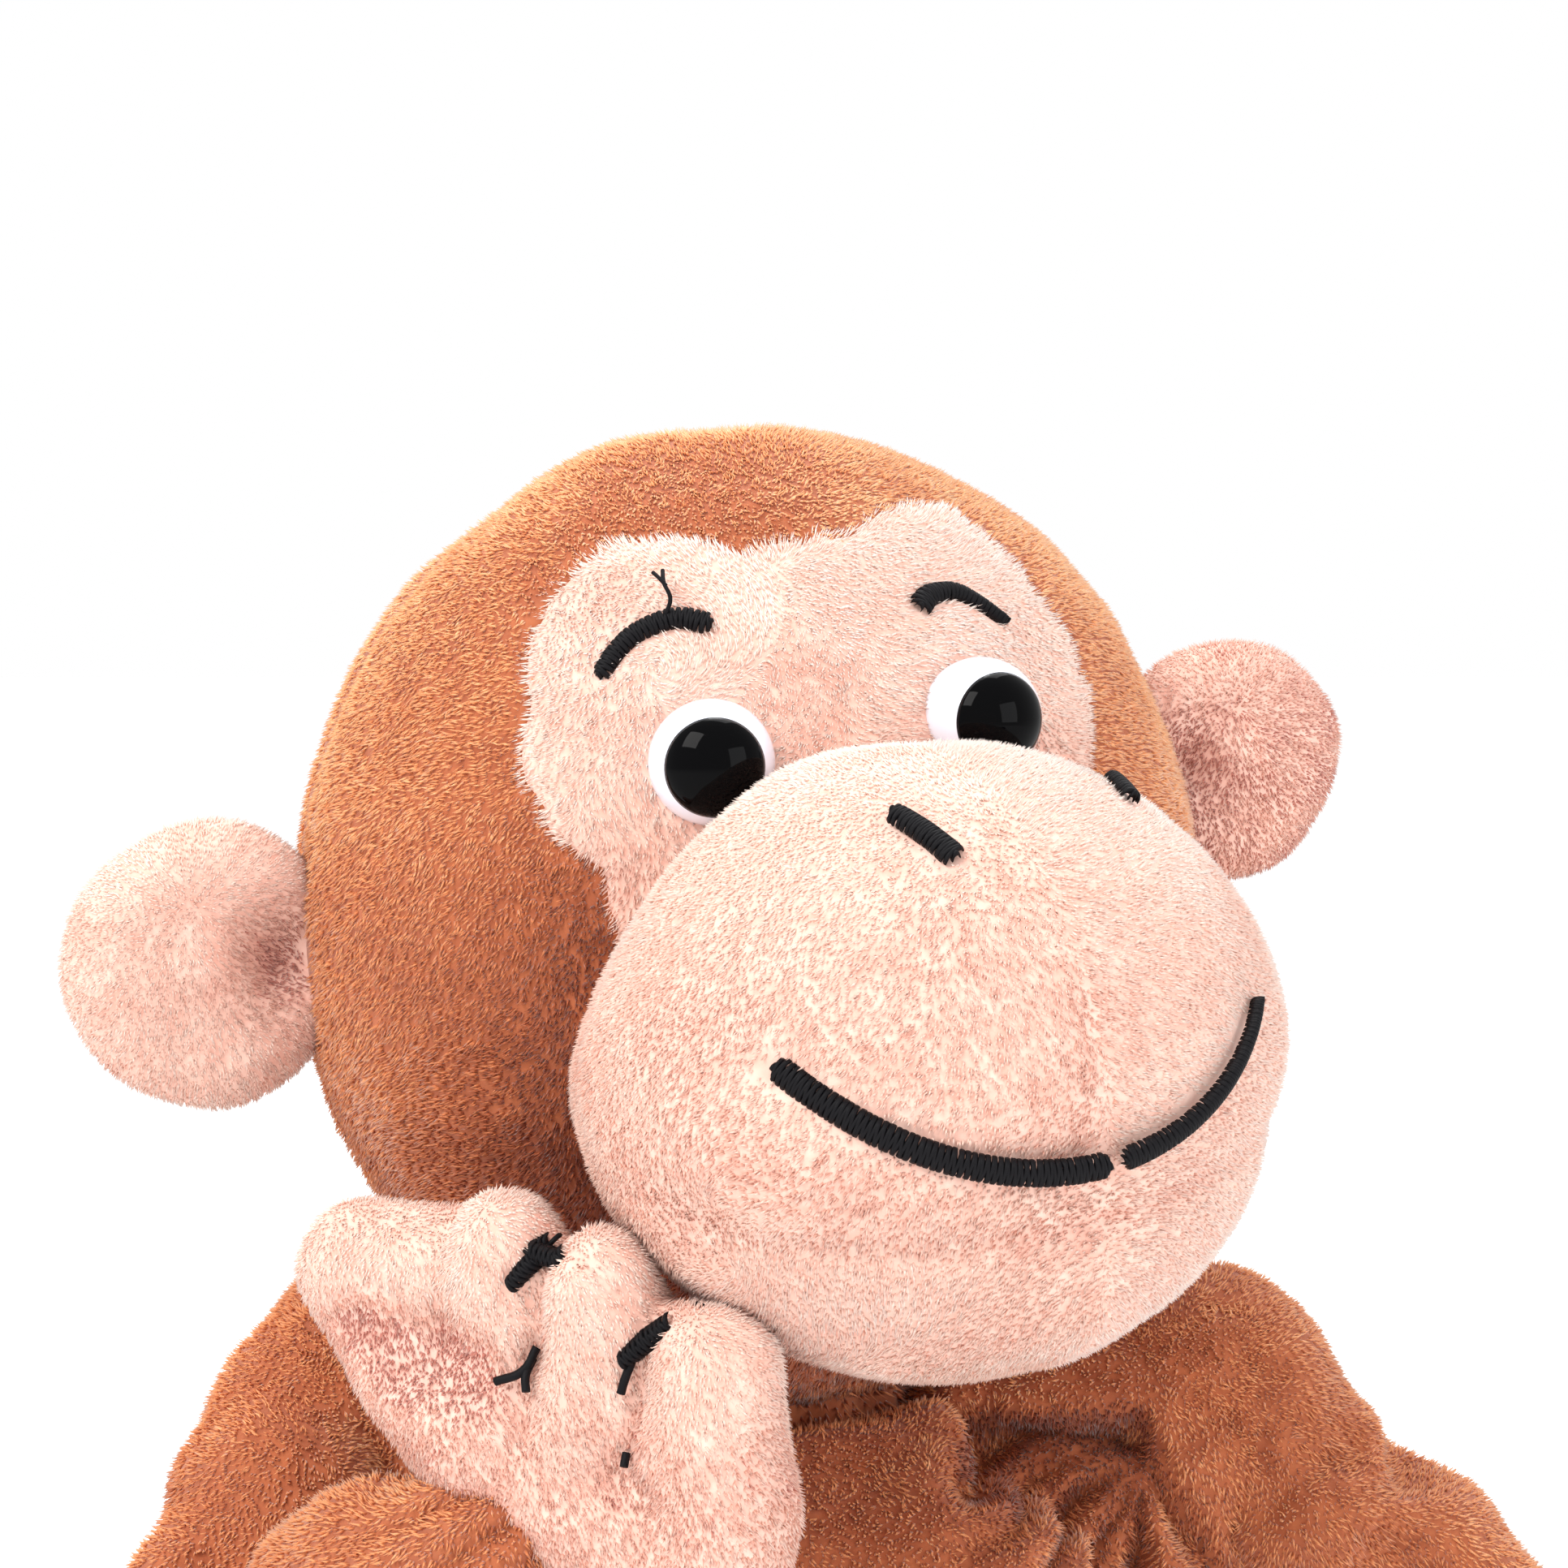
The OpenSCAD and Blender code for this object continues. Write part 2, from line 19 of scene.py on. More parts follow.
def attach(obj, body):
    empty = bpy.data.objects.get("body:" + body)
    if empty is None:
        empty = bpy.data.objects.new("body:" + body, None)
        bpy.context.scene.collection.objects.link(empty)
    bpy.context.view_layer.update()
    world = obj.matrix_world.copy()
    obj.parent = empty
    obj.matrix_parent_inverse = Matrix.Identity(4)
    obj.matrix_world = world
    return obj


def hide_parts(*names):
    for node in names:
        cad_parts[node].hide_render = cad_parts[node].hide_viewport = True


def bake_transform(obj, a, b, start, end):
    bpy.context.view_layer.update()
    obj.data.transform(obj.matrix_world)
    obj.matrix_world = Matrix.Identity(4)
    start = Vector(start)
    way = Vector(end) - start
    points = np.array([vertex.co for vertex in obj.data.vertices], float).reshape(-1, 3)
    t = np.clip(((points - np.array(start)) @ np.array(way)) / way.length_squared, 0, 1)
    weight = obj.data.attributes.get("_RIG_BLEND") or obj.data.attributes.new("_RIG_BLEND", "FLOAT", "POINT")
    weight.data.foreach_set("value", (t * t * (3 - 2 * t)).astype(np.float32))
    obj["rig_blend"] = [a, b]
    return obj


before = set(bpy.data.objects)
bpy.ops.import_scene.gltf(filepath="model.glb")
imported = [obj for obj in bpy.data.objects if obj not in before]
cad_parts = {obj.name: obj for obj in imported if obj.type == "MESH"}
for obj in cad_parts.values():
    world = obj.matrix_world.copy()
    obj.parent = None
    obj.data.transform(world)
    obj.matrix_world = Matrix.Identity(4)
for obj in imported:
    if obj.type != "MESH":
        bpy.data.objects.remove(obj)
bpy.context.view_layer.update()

LOG = logging.getLogger("monkey")
MM = 0.001
SEED = 7
FLOOR_GAP = 0.0008      # height at which a cover rests on the ground
BARE_BELOW = 0.0020     # a cover has no pile below this height
SKIN_SMOOTH = 0.5       # share of each smoothing step on a skin

Array = np.ndarray


# ---------------------------------------------------------------- plain helpers


def smooth(x: Array, low: float, high: float) -> Array:
    """Rise smoothly from 0 at low to 1 at high.

    Args:
        x: Values to map.
        low: Value at which the rise begins.
        high: Value at which it ends.

    Returns:
        The mapped values.
    """
    t = np.clip((x - low) / (high - low), 0.0, 1.0)
    return t * t * (3.0 - 2.0 * t)


def unit(v: Array) -> Array:
    """Return rows of v scaled to length one."""
    return v / np.maximum(np.linalg.norm(v, axis=-1, keepdims=True), 1e-12)


def ripple(p: Array, size: float, seed: int) -> Array:
    """Sum a few plane waves into a soft random field in about -1 to 1.

    Args:
        p: Points, one a row.
        size: Typical distance between crests.
        seed: Seed of the directions and phases.

    Returns:
        One value a point.
    """
    rng = np.random.default_rng(seed)
    waves = 9
    directions = unit(rng.normal(size=(waves, 3)))
    pitch = rng.uniform(0.7, 1.5, waves)
    phase = rng.uniform(0, 2 * math.pi, waves)
    angle = (p @ directions.T) * (2 * math.pi / size) * pitch + phase
    return np.sin(angle).sum(axis=1) / math.sqrt(waves)


def swirl(p: Array, size: float, seed: int) -> Array:
    """Give each point a soft random direction, which turns the way a pile lies."""
    return np.stack([ripple(p, size, seed + k) for k in range(3)], axis=1)


def distance_to_line(p: Array, line: Sequence[Sequence[float]]) -> Array:
    """Measure how far each point lies from a broken line.

    Args:
        p: Points, one a row.
        line: Corners of the line.

    Returns:
        One distance a point.
    """
    corners = np.asarray(line, float)
    best = np.full(len(p), np.inf)
    for a, b in zip(corners[:-1], corners[1:]):
        d = b - a
        t = np.clip(((p - a) @ d) / max(float(d @ d), 1e-18), 0.0, 1.0)
        best = np.minimum(best, np.linalg.norm(p - (a + t[:, None] * d), axis=1))
    return best


def nearest_line(p: Array, lines: Iterable[Array], step: int = 1) -> Array:
    """Measure how far each point lies from the nearest of several lines, read at every step-th corner."""
    return np.minimum.reduce([distance_to_line(p, line[::step]) for line in lines])


def vertices(mesh: bpy.types.Mesh) -> Array:
    """Read a mesh's vertices as rows.

    Args:
        mesh: Mesh to read.

    Returns:
        One row a vertex.
    """
    co = np.empty(len(mesh.vertices) * 3)
    mesh.vertices.foreach_get("co", co)
    return co.reshape(-1, 3)


def normals(mesh: bpy.types.Mesh) -> Array:
    """Read a mesh's vertex normals as rows.

    Args:
        mesh: Mesh to read.

    Returns:
        One row a vertex.
    """
    out = np.empty(len(mesh.vertices) * 3)
    mesh.vertex_normals.foreach_get("vector", out)
    return out.reshape(-1, 3)


def set_vertices(mesh: bpy.types.Mesh, co: Array) -> None:
    """Write rows back as a mesh's vertices."""
    mesh.vertices.foreach_set("co", np.ascontiguousarray(co).ravel())
    mesh.update()


def above_floor(obj: bpy.types.Object) -> Array:
    """Lift what sags below the ground back onto it, and return the vertices.

    Args:
        obj: Piece to lift.

    Returns:
        The vertices, one a row.
    """
    p = vertices(obj.data)
    p[:, 2] = np.maximum(p[:, 2], FLOOR_GAP)
    set_vertices(obj.data, p)
    return p


def upper_side(obj: bpy.types.Object) -> Array:
    """Say how far each vertex of a piece faces up, from 0 to 1: the share of painted top light that it gets.
    """
    return smooth(normals(obj.data)[:, 2], -0.2, 0.9)


def link(obj: bpy.types.Object) -> bpy.types.Object:
    """Put an object into the scene."""
    bpy.context.scene.collection.objects.link(obj)
    return obj


def mesh_object(name: str, points: Array, faces: Iterable[Sequence[int]]) -> bpy.types.Object:
    """Make a smooth-shaded mesh object from points and faces.

    Args:
        name: Name of the piece.
        points: One vertex a row.
        faces: Corner numbers of each face.

    Returns:
        The object, linked to the scene.
    """
    mesh = bpy.data.meshes.new(name)
    mesh.from_pydata([tuple(p) for p in points], [], [tuple(f) for f in faces])
    mesh.update()
    shade_smooth(mesh)
    return link(bpy.data.objects.new(name, mesh))


def shade_smooth(mesh: bpy.types.Mesh) -> None:
    """Shade every face of a mesh smoothly."""
    mesh.polygons.foreach_set("use_smooth", np.ones(len(mesh.polygons), bool))


def set_attribute(mesh: bpy.types.Mesh, name: str, values: Array) -> None:
    """Store one number or one vector a vertex under a name.

    Args:
        mesh: Mesh that gets the attribute.
        name: Name of the attribute.
        values: One value, or one row of three, a vertex.
    """
    vector = values.ndim == 2
    kind = "FLOAT_VECTOR" if vector else "FLOAT"
    old = mesh.attributes.get(name)
    if old:
        mesh.attributes.remove(old)
    layer = mesh.attributes.new(name, kind, "POINT")
    layer.data.foreach_set("vector" if vector else "value", np.ascontiguousarray(values, np.float32).ravel())


def bake_down(obj: bpy.types.Object) -> bpy.types.Object:
    """Turn an object's modifiers into plain mesh.

    Args:
        obj: Object with live modifiers.

    Returns:
        The same object, with no modifier left.
    """
    bpy.context.view_layer.update()
    depsgraph = bpy.context.evaluated_depsgraph_get()
    mesh = bpy.data.meshes.new_from_object(obj.evaluated_get(depsgraph), depsgraph=depsgraph)
    obj.modifiers.clear()
    old = obj.data
    obj.data = mesh
    mesh.name = obj.name
    bpy.data.meshes.remove(old)
    shade_smooth(mesh)
    return obj


def close_and_orient(mesh: bpy.types.Mesh) -> None:
    """Merge doubles and turn every face outwards.

    Args:
        mesh: Mesh to mend.
    """
    bm = bmesh.new()
    bm.from_mesh(mesh)
    bmesh.ops.remove_doubles(bm, verts=bm.verts, dist=1e-6)
    bmesh.ops.recalc_face_normals(bm, faces=bm.faces)
    bm.to_mesh(mesh)
    bm.free()
    mesh.update()


# ---------------------------------------------------------------- finishes


def srgb(red: int, green: int, blue: int) -> tuple[float, float, float, float]:
    """Turn a screen colour of 0 to 255 into a shader's linear colour."""
    def one(level: int) -> float:
        """Turn one channel's level into its linear value."""
        v = level / 255.0
        return v / 12.92 if v <= 0.04045 else ((v + 0.055) / 1.055) ** 2.4
    return (one(red), one(green), one(blue), 1.0)


Colour = tuple[float, float, float, float]


def principled(name: str, colour: Colour, roughness: float) -> tuple[bpy.types.Material, bpy.types.Node]:
    """Make a material and return it with its shader.

    Args:
        name: Name of the material.
        colour: Linear colour.
        roughness: Roughness of the surface.

    Returns:
        The material and its Principled shader.
    """
    material = bpy.data.materials.new(name)
    material.use_nodes = True
    shader = material.node_tree.nodes["Principled BSDF"]
    shader.inputs["Base Color"].default_value = colour
    shader.inputs["Roughness"].default_value = roughness
    material.diffuse_color = colour
    return material, shader


@dataclass(frozen=True)
class Plush:
    """Short-pile plush: a knitted backing and a pile in a few shades from deep to light.

    Attributes:
        name: Name of the cloth.
        slot: Slot of the record for this cloth; not used.
        backing: Two shades of the backing.
        shades: Shades of the pile, from the deepest to the lightest.
    """

    name: str
    slot: str
    backing: tuple[Colour, Colour]
    shades: tuple[Colour, ...]
    sheen: float = 0.35

    def cloth(self) -> bpy.types.Material:
        """Make the backing's material, mottled by its tufts.

        Returns:
            The material, made once.
        """
        old = bpy.data.materials.get(f"{self.name}_cloth")
        if old:
            return old
        material, shader = principled(f"{self.name}_cloth", self.backing[0], 0.9)
        tree = material.node_tree
        place = tree.nodes.new("ShaderNodeTexCoord")
        tufts = tree.nodes.new("ShaderNodeTexNoise")
        tufts.inputs["Scale"].default_value = 420.0
        tufts.inputs["Detail"].default_value = 4.0
        ramp = tree.nodes.new("ShaderNodeValToRGB")
        ramp.color_ramp.elements[0].position = 0.35
        ramp.color_ramp.elements[0].color = self.backing[0]
        ramp.color_ramp.elements[1].position = 0.68
        ramp.color_ramp.elements[1].color = self.backing[1]
        bump = tree.nodes.new("ShaderNodeBump")
        bump.inputs["Strength"].default_value = 0.6
        bump.inputs["Distance"].default_value = 0.0006
        tree.links.new(place.outputs["Object"], tufts.inputs["Vector"])
        tree.links.new(tufts.outputs["Fac"], ramp.inputs["Fac"])
        tree.links.new(ramp.outputs["Color"], shader.inputs["Base Color"])
        tree.links.new(tufts.outputs["Fac"], bump.inputs["Height"])
        tree.links.new(bump.outputs["Normal"], shader.inputs["Normal"])
        shader.inputs["Sheen Weight"].default_value = self.sheen
        return material

    def pile(self) -> list[bpy.types.Material]:
        """Make one plain material for each shade of the pile.

        Returns:
            The materials, darkest first.
        """
        made = []
        for k, colour in enumerate(self.shades):
            name = f"{self.name}_pile_{k}"
            material = bpy.data.materials.get(name)
            if material is None:
                material, shader = principled(name, colour, 0.62)
                shader.inputs["Sheen Weight"].default_value = self.sheen
                shader.inputs["Sheen Roughness"].default_value = 0.4
            made.append(material)
        return made


@dataclass(frozen=True)
class SatinThread:
    """Black embroidery thread with the soft gloss of its twist."""

    name: str = "embroidery_thread"
    slot: str = "black_thread"
    colour: Colour = srgb(16, 15, 18)

    def material(self) -> bpy.types.Material:
        """Make the thread's material, with fine plies along it.

        Returns:
            The material, made once.
        """
        old = bpy.data.materials.get(self.name)
        if old:
            return old
        material, shader = principled(self.name, self.colour, 0.55)
        shader.inputs["Specular IOR Level"].default_value = 0.12
        tree = material.node_tree
        place = tree.nodes.new("ShaderNodeTexCoord")
        plies = tree.nodes.new("ShaderNodeTexNoise")
        plies.inputs["Scale"].default_value = 3200.0
        bump = tree.nodes.new("ShaderNodeBump")
        bump.inputs["Strength"].default_value = 0.35
        bump.inputs["Distance"].default_value = 0.0001
        tree.links.new(place.outputs["Object"], plies.inputs["Vector"])
        tree.links.new(plies.outputs["Fac"], bump.inputs["Height"])
        tree.links.new(bump.outputs["Normal"], shader.inputs["Normal"])
        return material


@dataclass(frozen=True)
class GlossPlastic:
    """Moulded plastic with a clear gloss, such as an eye's dome or its disc."""

    name: str
    slot: str
    deep: Colour
    light: Colour
    roughness: float = 0.08
    shine: float = 0.5
    coat: float = 0.6

    def material(self) -> bpy.types.Material:
        """Make the plastic's material, faintly cloudy inside its gloss.

        Returns:
            The material, made once.
        """
        old = bpy.data.materials.get(self.name)
        if old:
            return old
        material, shader = principled(self.name, self.light, self.roughness)
        tree = material.node_tree
        place = tree.nodes.new("ShaderNodeTexCoord")
        cloud = tree.nodes.new("ShaderNodeTexNoise")
        cloud.inputs["Scale"].default_value = 160.0
        ramp = tree.nodes.new("ShaderNodeValToRGB")
        ramp.color_ramp.elements[0].color = self.deep
        ramp.color_ramp.elements[1].color = self.light
        tree.links.new(place.outputs["Object"], cloud.inputs["Vector"])
        tree.links.new(cloud.outputs["Fac"], ramp.inputs["Fac"])
        tree.links.new(ramp.outputs["Color"], shader.inputs["Base Color"])
        shader.inputs["Specular IOR Level"].default_value = self.shine
        shader.inputs["Coat Weight"].default_value = self.coat
        shader.inputs["Coat Roughness"].default_value = 0.03
        return material


BROWN = Plush(
    "brown_plush", "brown_plush",
    (srgb(158, 82, 47), srgb(180, 100, 59)),
    (srgb(140, 64, 34), srgb(182, 96, 54), srgb(212, 126, 76),
     srgb(234, 154, 100), srgb(247, 178, 124), srgb(255, 198, 146)),
)
PEACH = Plush(
    "peach_plush", "peach_plush",
    (srgb(236, 184, 166), srgb(247, 208, 192)),
    (srgb(204, 132, 116), srgb(232, 176, 156), srgb(245, 205, 188),
     srgb(250, 222, 208), srgb(252, 232, 221), srgb(254, 241, 234)),
)
THREAD = SatinThread()
EYE_WHITE = GlossPlastic(
    "eye_white", "white_plastic", srgb(222, 226, 240), srgb(238, 240, 249),
    roughness=0.12, shine=0.4, coat=0.3,
)
EYE_BLACK = GlossPlastic(
    "eye_black", "black_plastic", srgb(2, 2, 3), srgb(4, 4, 5),
    roughness=0.05, shine=0.06, coat=0.0,
)


# ---------------------------------------------------------------- pile


@dataclass(frozen=True)
class PileCut:
    """How a pile is cut and brushed.

    Attributes:
        density: Fibres a square metre.
        length: Length of a fibre.
        width: Width of a fibre at its root.
        lean: How far the fibres lie over, from 0 upright.
        tufts: How far a tuft turns its fibres aside.
        tuft_size: Distance from one tuft to the next.
        spread: How far the shades mix.
    """

    density: float = 5.0e6
    length: float = 0.0021
    width: float = 0.00030
    lean: float = 0.55
    tufts: float = 0.9
    tuft_size: float = 0.0026
    spread: float = 0.30


HEAD_CUT = PileCut(6.3e6, 0.0010, 0.00032, 0.8, 1.1, 0.0019, 0.24)
MASK_CUT = PileCut(7.4e6, 0.0011, 0.00024, 0.8, 0.8, 0.0020, 0.22)
MUZZLE_CUT = PileCut(6.9e6, 0.0008, 0.00028, 0.9, 0.6, 0.0018, 0.17)
EAR_CUT = PileCut(8.4e6, 0.0008, 0.00025, 0.8, 0.8, 0.0018, 0.20)
TORSO_CUT = PileCut(4.3e6, 0.0011, 0.00039, spread=0.20)
NECK_CUT = PileCut(1.0e6, width=0.00050)
SLEEVE_CUT = PileCut(4.4e6, 0.0011, 0.00035, spread=0.20)
LEG_CUT = PileCut(2.2e6, width=0.00042)
FOOT_CUT = PileCut(3.6e6, 0.0013, 0.00034, 0.8, 0.7, spread=0.24)
TAIL_CUT = PileCut(4.2e6, 0.0018)
RIGHT_HAND_CUT = PileCut(7.4e6, 0.0008, 0.00027, 0.8, 0.7, 0.0018, 0.18)
LEFT_HAND_CUT = PileCut(4.0e6, 0.0008, 0.00027, 0.8, 0.7, 0.0018, 0.18)


def spike_mesh() -> bpy.types.Object:
    """Make one fibre: a closed spike of unit height on a three-cornered root.

    Returns:
        The fibre, which is never linked into the scene.
    """
    old = bpy.data.objects.get("fibre_shape")
    if old:
        return old
    root = [(math.cos(a) * 0.5, math.sin(a) * 0.5, -0.12) for a in (0.0, 2.0944, 4.18879)]
    obj = bpy.data.objects.new("fibre_shape", bpy.data.meshes.new("fibre_shape"))
    obj.data.from_pydata(root + [(0.0, 0.0, 1.0)], [], [(0, 1, 3), (1, 2, 3), (2, 0, 3), (2, 1, 0)])
    shade_smooth(obj.data)
    return obj


class PileTree:
    """The node tree that grows a pile on a cloth.

    The cloth carries three attributes: comb, the way the pile lies; thick, how dense it
    is from 0 to 1; and tone, its shade from 0 to 1, which holds painted light and painted
    shade as well as the cloth's own mottling.
    """

    def __init__(self, materials: Sequence[bpy.types.Material]) -> None:
        """Build the tree.

        Args:
            materials: Shades of the pile, from the deepest to the lightest.
        """
        self.tree = bpy.data.node_groups.new("pile_tree", "GeometryNodeTree")
        self.materials = list(materials)
        self.sockets: dict[str, str] = {}
        self._interface()
        self._build()

    def _interface(self) -> None:
        face = self.tree.interface
        face.new_socket("Geometry", in_out="INPUT", socket_type="NodeSocketGeometry")
        for name in ("Density", "Length", "Width", "Lean", "Tufts", "Tuft Size", "Spread"):
            item = face.new_socket(name, in_out="INPUT", socket_type="NodeSocketFloat")
            self.sockets[name] = item.identifier
        item = face.new_socket("Seed", in_out="INPUT", socket_type="NodeSocketInt")
        self.sockets["Seed"] = item.identifier
        item = face.new_socket("Fibre", in_out="INPUT", socket_type="NodeSocketObject")
        self.sockets["Fibre"] = item.identifier
        face.new_socket("Geometry", in_out="OUTPUT", socket_type="NodeSocketGeometry")

    def _node(self, kind: str, **settings: object) -> bpy.types.Node:
        """Add a node and set its properties.

        Args:
            kind: Node's type.
            **settings: Properties by name.

        Returns:
            The node.
        """
        node = self.tree.nodes.new(kind)
        for key, value in settings.items():
            setattr(node, key, value)
        return node

    def _read(self, name: str, kind: str) -> bpy.types.NodeSocket:
        """Read one of the cloth's attributes.

        Args:
            name: Attribute's name.
            kind: Attribute's type.

        Returns:
            The socket it comes out of.
        """
        node = self._node("GeometryNodeInputNamedAttribute", data_type=kind)
        node.inputs["Name"].default_value = name
        return node.outputs["Attribute"]

    def _math(self, operation: str, *values: object) -> bpy.types.NodeSocket:
        """Add a number's operation on sockets or constants.

        Args:
            operation: Operation's name.
            *values: What it works on.

        Returns:
            The socket of the result.
        """
        node = self._node("ShaderNodeMath", operation=operation)
        for slot, value in zip(node.inputs, values):
            self._feed(slot, value)
        return node.outputs[0]

    def _vector(self, operation: str, *values: object) -> bpy.types.NodeSocket:
        """Add a vector's operation on sockets or constants.

        Args:
            operation: Operation's name.
            *values: What it works on.

        Returns:
            The socket of the result.
        """
        node = self._node("ShaderNodeVectorMath", operation=operation)
        for slot, value in zip((s for s in node.inputs if s.enabled), values):
            self._feed(slot, value)
        return node.outputs["Vector"]

    def _scaled(self, vector: bpy.types.NodeSocket, factor: object) -> bpy.types.NodeSocket:
        """Scale a vector by a number.

        Args:
            vector: Vector's socket.
            factor: Number or its socket.

        Returns:
            The socket of the result.
        """
        node = self._node("ShaderNodeVectorMath", operation="SCALE")
        self._feed(node.inputs[0], vector)
        self._feed(node.inputs["Scale"], factor)
        return node.outputs["Vector"]

    def _feed(self, slot: bpy.types.NodeSocket, value: object) -> None:
        """Link a socket into another, or set the constant."""
        if isinstance(value, bpy.types.NodeSocket):
            self.tree.links.new(value, slot)
        else:
            slot.default_value = value

    def _random(
        self, kind: str, low: object, high: object, seed: bpy.types.NodeSocket, more: int,
    ) -> bpy.types.NodeSocket:
        """Draw one seeded random value a fibre.

        Args:
            kind: FLOAT or FLOAT_VECTOR.
            low: Lowest value.
            high: Highest value.
            seed: The tree's seed.
            more: Number that tells this draw from the others.

        Returns:
            The drawn value's socket.
        """
        node = self._node("FunctionNodeRandomValue", data_type=kind)
        inputs = [s for s in node.inputs if s.enabled]
        inputs[0].default_value = low
        inputs[1].default_value = high
        self._feed(node.inputs["Seed"], self._math("ADD", seed, float(more)))
        return next(s for s in node.outputs if s.enabled)

    def _build(self) -> None:
        """Wire the tree from the cloth to the finished pile."""
        links = self.tree.links
        source = self._node("NodeGroupInput")
        given = source.outputs
        seed = given["Seed"]
        scatter = self._node("GeometryNodeDistributePointsOnFaces", distribute_method="RANDOM")
        links.new(given["Geometry"], scatter.inputs["Mesh"])
        thick = self._read("thick", "FLOAT")
        self._feed(scatter.inputs["Density"], self._math("MULTIPLY", given["Density"], thick))
        self._feed(scatter.inputs["Seed"], seed)

        tuft = self._node("ShaderNodeTexNoise")
        self._feed(tuft.inputs["Scale"], self._math("DIVIDE", 1.0, given["Tuft Size"]))
        tuft.inputs["Detail"].default_value = 2.0
        aside = self._vector("SUBTRACT", tuft.outputs["Color"], (0.5, 0.5, 0.5))
        stray = self._random("FLOAT_VECTOR", (-0.5, -0.5, -0.5), (0.5, 0.5, 0.5), seed, 1)
        comb = self._scaled(self._read("comb", "FLOAT_VECTOR"), given["Lean"])
        way = self._vector("ADD", scatter.outputs["Normal"], comb)
        way = self._vector("ADD", way, self._scaled(aside, self._math("MULTIPLY", given["Tufts"], 2.0)))
        way = self._vector("ADD", way, self._scaled(stray, 0.55))
        turn = self._node("FunctionNodeAlignRotationToVector", axis="Z")
        links.new(way, turn.inputs["Vector"])

        size = self._node("ShaderNodeCombineXYZ")
        width = self._math("MULTIPLY", given["Width"], self._random("FLOAT", 0.75, 1.3, seed, 2))
        reach = self._math("MULTIPLY", given["Length"], self._random("FLOAT", 0.65, 1.1, seed, 3))
        for axis, value in (("X", width), ("Y", width), ("Z", reach)):
            links.new(value, size.inputs[axis])

        shade = self._math("SUBTRACT", self._random("FLOAT", 0.0, 1.0, seed, 4), 0.5)
        shade = self._math("MULTIPLY", shade, given["Spread"])
        shade = self._math("ADD", shade, self._read("tone", "FLOAT"))
        blotch = self._math("MULTIPLY", self._math("SUBTRACT", tuft.outputs["Fac"], 0.5), given["Spread"])
        shade = self._math("ADD", shade, blotch)
        shade = self._math("MULTIPLY", shade, float(len(self.materials)))
        shade = self._math("FLOOR", shade)
        shade = self._math("MINIMUM", self._math("MAXIMUM", shade, 0.0), float(len(self.materials) - 1))
        store = self._node("GeometryNodeStoreNamedAttribute", data_type="FLOAT", domain="POINT")
        store.inputs["Name"].default_value = "shade"
        links.new(scatter.outputs["Points"], store.inputs["Geometry"])
        self._feed(store.inputs["Value"], shade)

        fibre = self._node("GeometryNodeObjectInfo")
        links.new(given["Fibre"], fibre.inputs["Object"])
        plant = self._node("GeometryNodeInstanceOnPoints")
        links.new(store.outputs["Geometry"], plant.inputs["Points"])
        links.new(fibre.outputs["Geometry"], plant.inputs["Instance"])
        links.new(turn.outputs["Rotation"], plant.inputs["Rotation"])
        links.new(size.outputs["Vector"], plant.inputs["Scale"])
        real = self._node("GeometryNodeRealizeInstances")
        links.new(plant.outputs["Instances"], real.inputs["Geometry"])
        last = real.outputs["Geometry"]
        # Each fibre gets the material of its shade number, which takes in the painted light and shade held in
        # tone.
        for k, material in enumerate(self.materials):
            paint_node = self._node("GeometryNodeSetMaterial")
            paint_node.inputs["Material"].default_value = material
            same = self._node("FunctionNodeCompare", data_type="FLOAT", operation="EQUAL")
            self._feed(same.inputs["A"], self._read("shade", "FLOAT"))
            same.inputs["B"].default_value = float(k)
            same.inputs["Epsilon"].default_value = 0.25
            links.new(last, paint_node.inputs["Geometry"])
            links.new(same.outputs["Result"], paint_node.inputs["Selection"])
            last = paint_node.outputs["Geometry"]
        links.new(last, self._node("NodeGroupOutput").inputs["Geometry"])

    def grow(self, cloth: bpy.types.Object, name: str, cut: PileCut, seed: int) -> bpy.types.Object:
        """Grow a pile on a cloth and return it as a plain mesh of its own.

        Args:
            cloth: Cloth with comb, thick and tone attributes.
            name: Name of the pile's piece.
            cut: How the pile is cut.
            seed: Seed of the fibres' places.

        Returns:
            The pile.
        """
        obj = link(bpy.data.objects.new(name, cloth.data.copy()))
        modifier = obj.modifiers.new("pile", "NODES")
        modifier.node_group = self.tree
        values = {
            "Density": cut.density, "Length": cut.length, "Width": cut.width, "Lean": cut.lean,
            "Tufts": cut.tufts, "Tuft Size": cut.tuft_size, "Spread": cut.spread,
            "Seed": seed, "Fibre": spike_mesh(),
        }
        for key, value in values.items():
            modifier[self.sockets[key]] = value
        bake_down(obj)
        for layer in [a.name for a in obj.data.attributes if a.name in ("comb", "thick", "tone", "shade")]:
            obj.data.attributes.remove(obj.data.attributes[layer])
        return obj


PIECE_MOST = 190_000


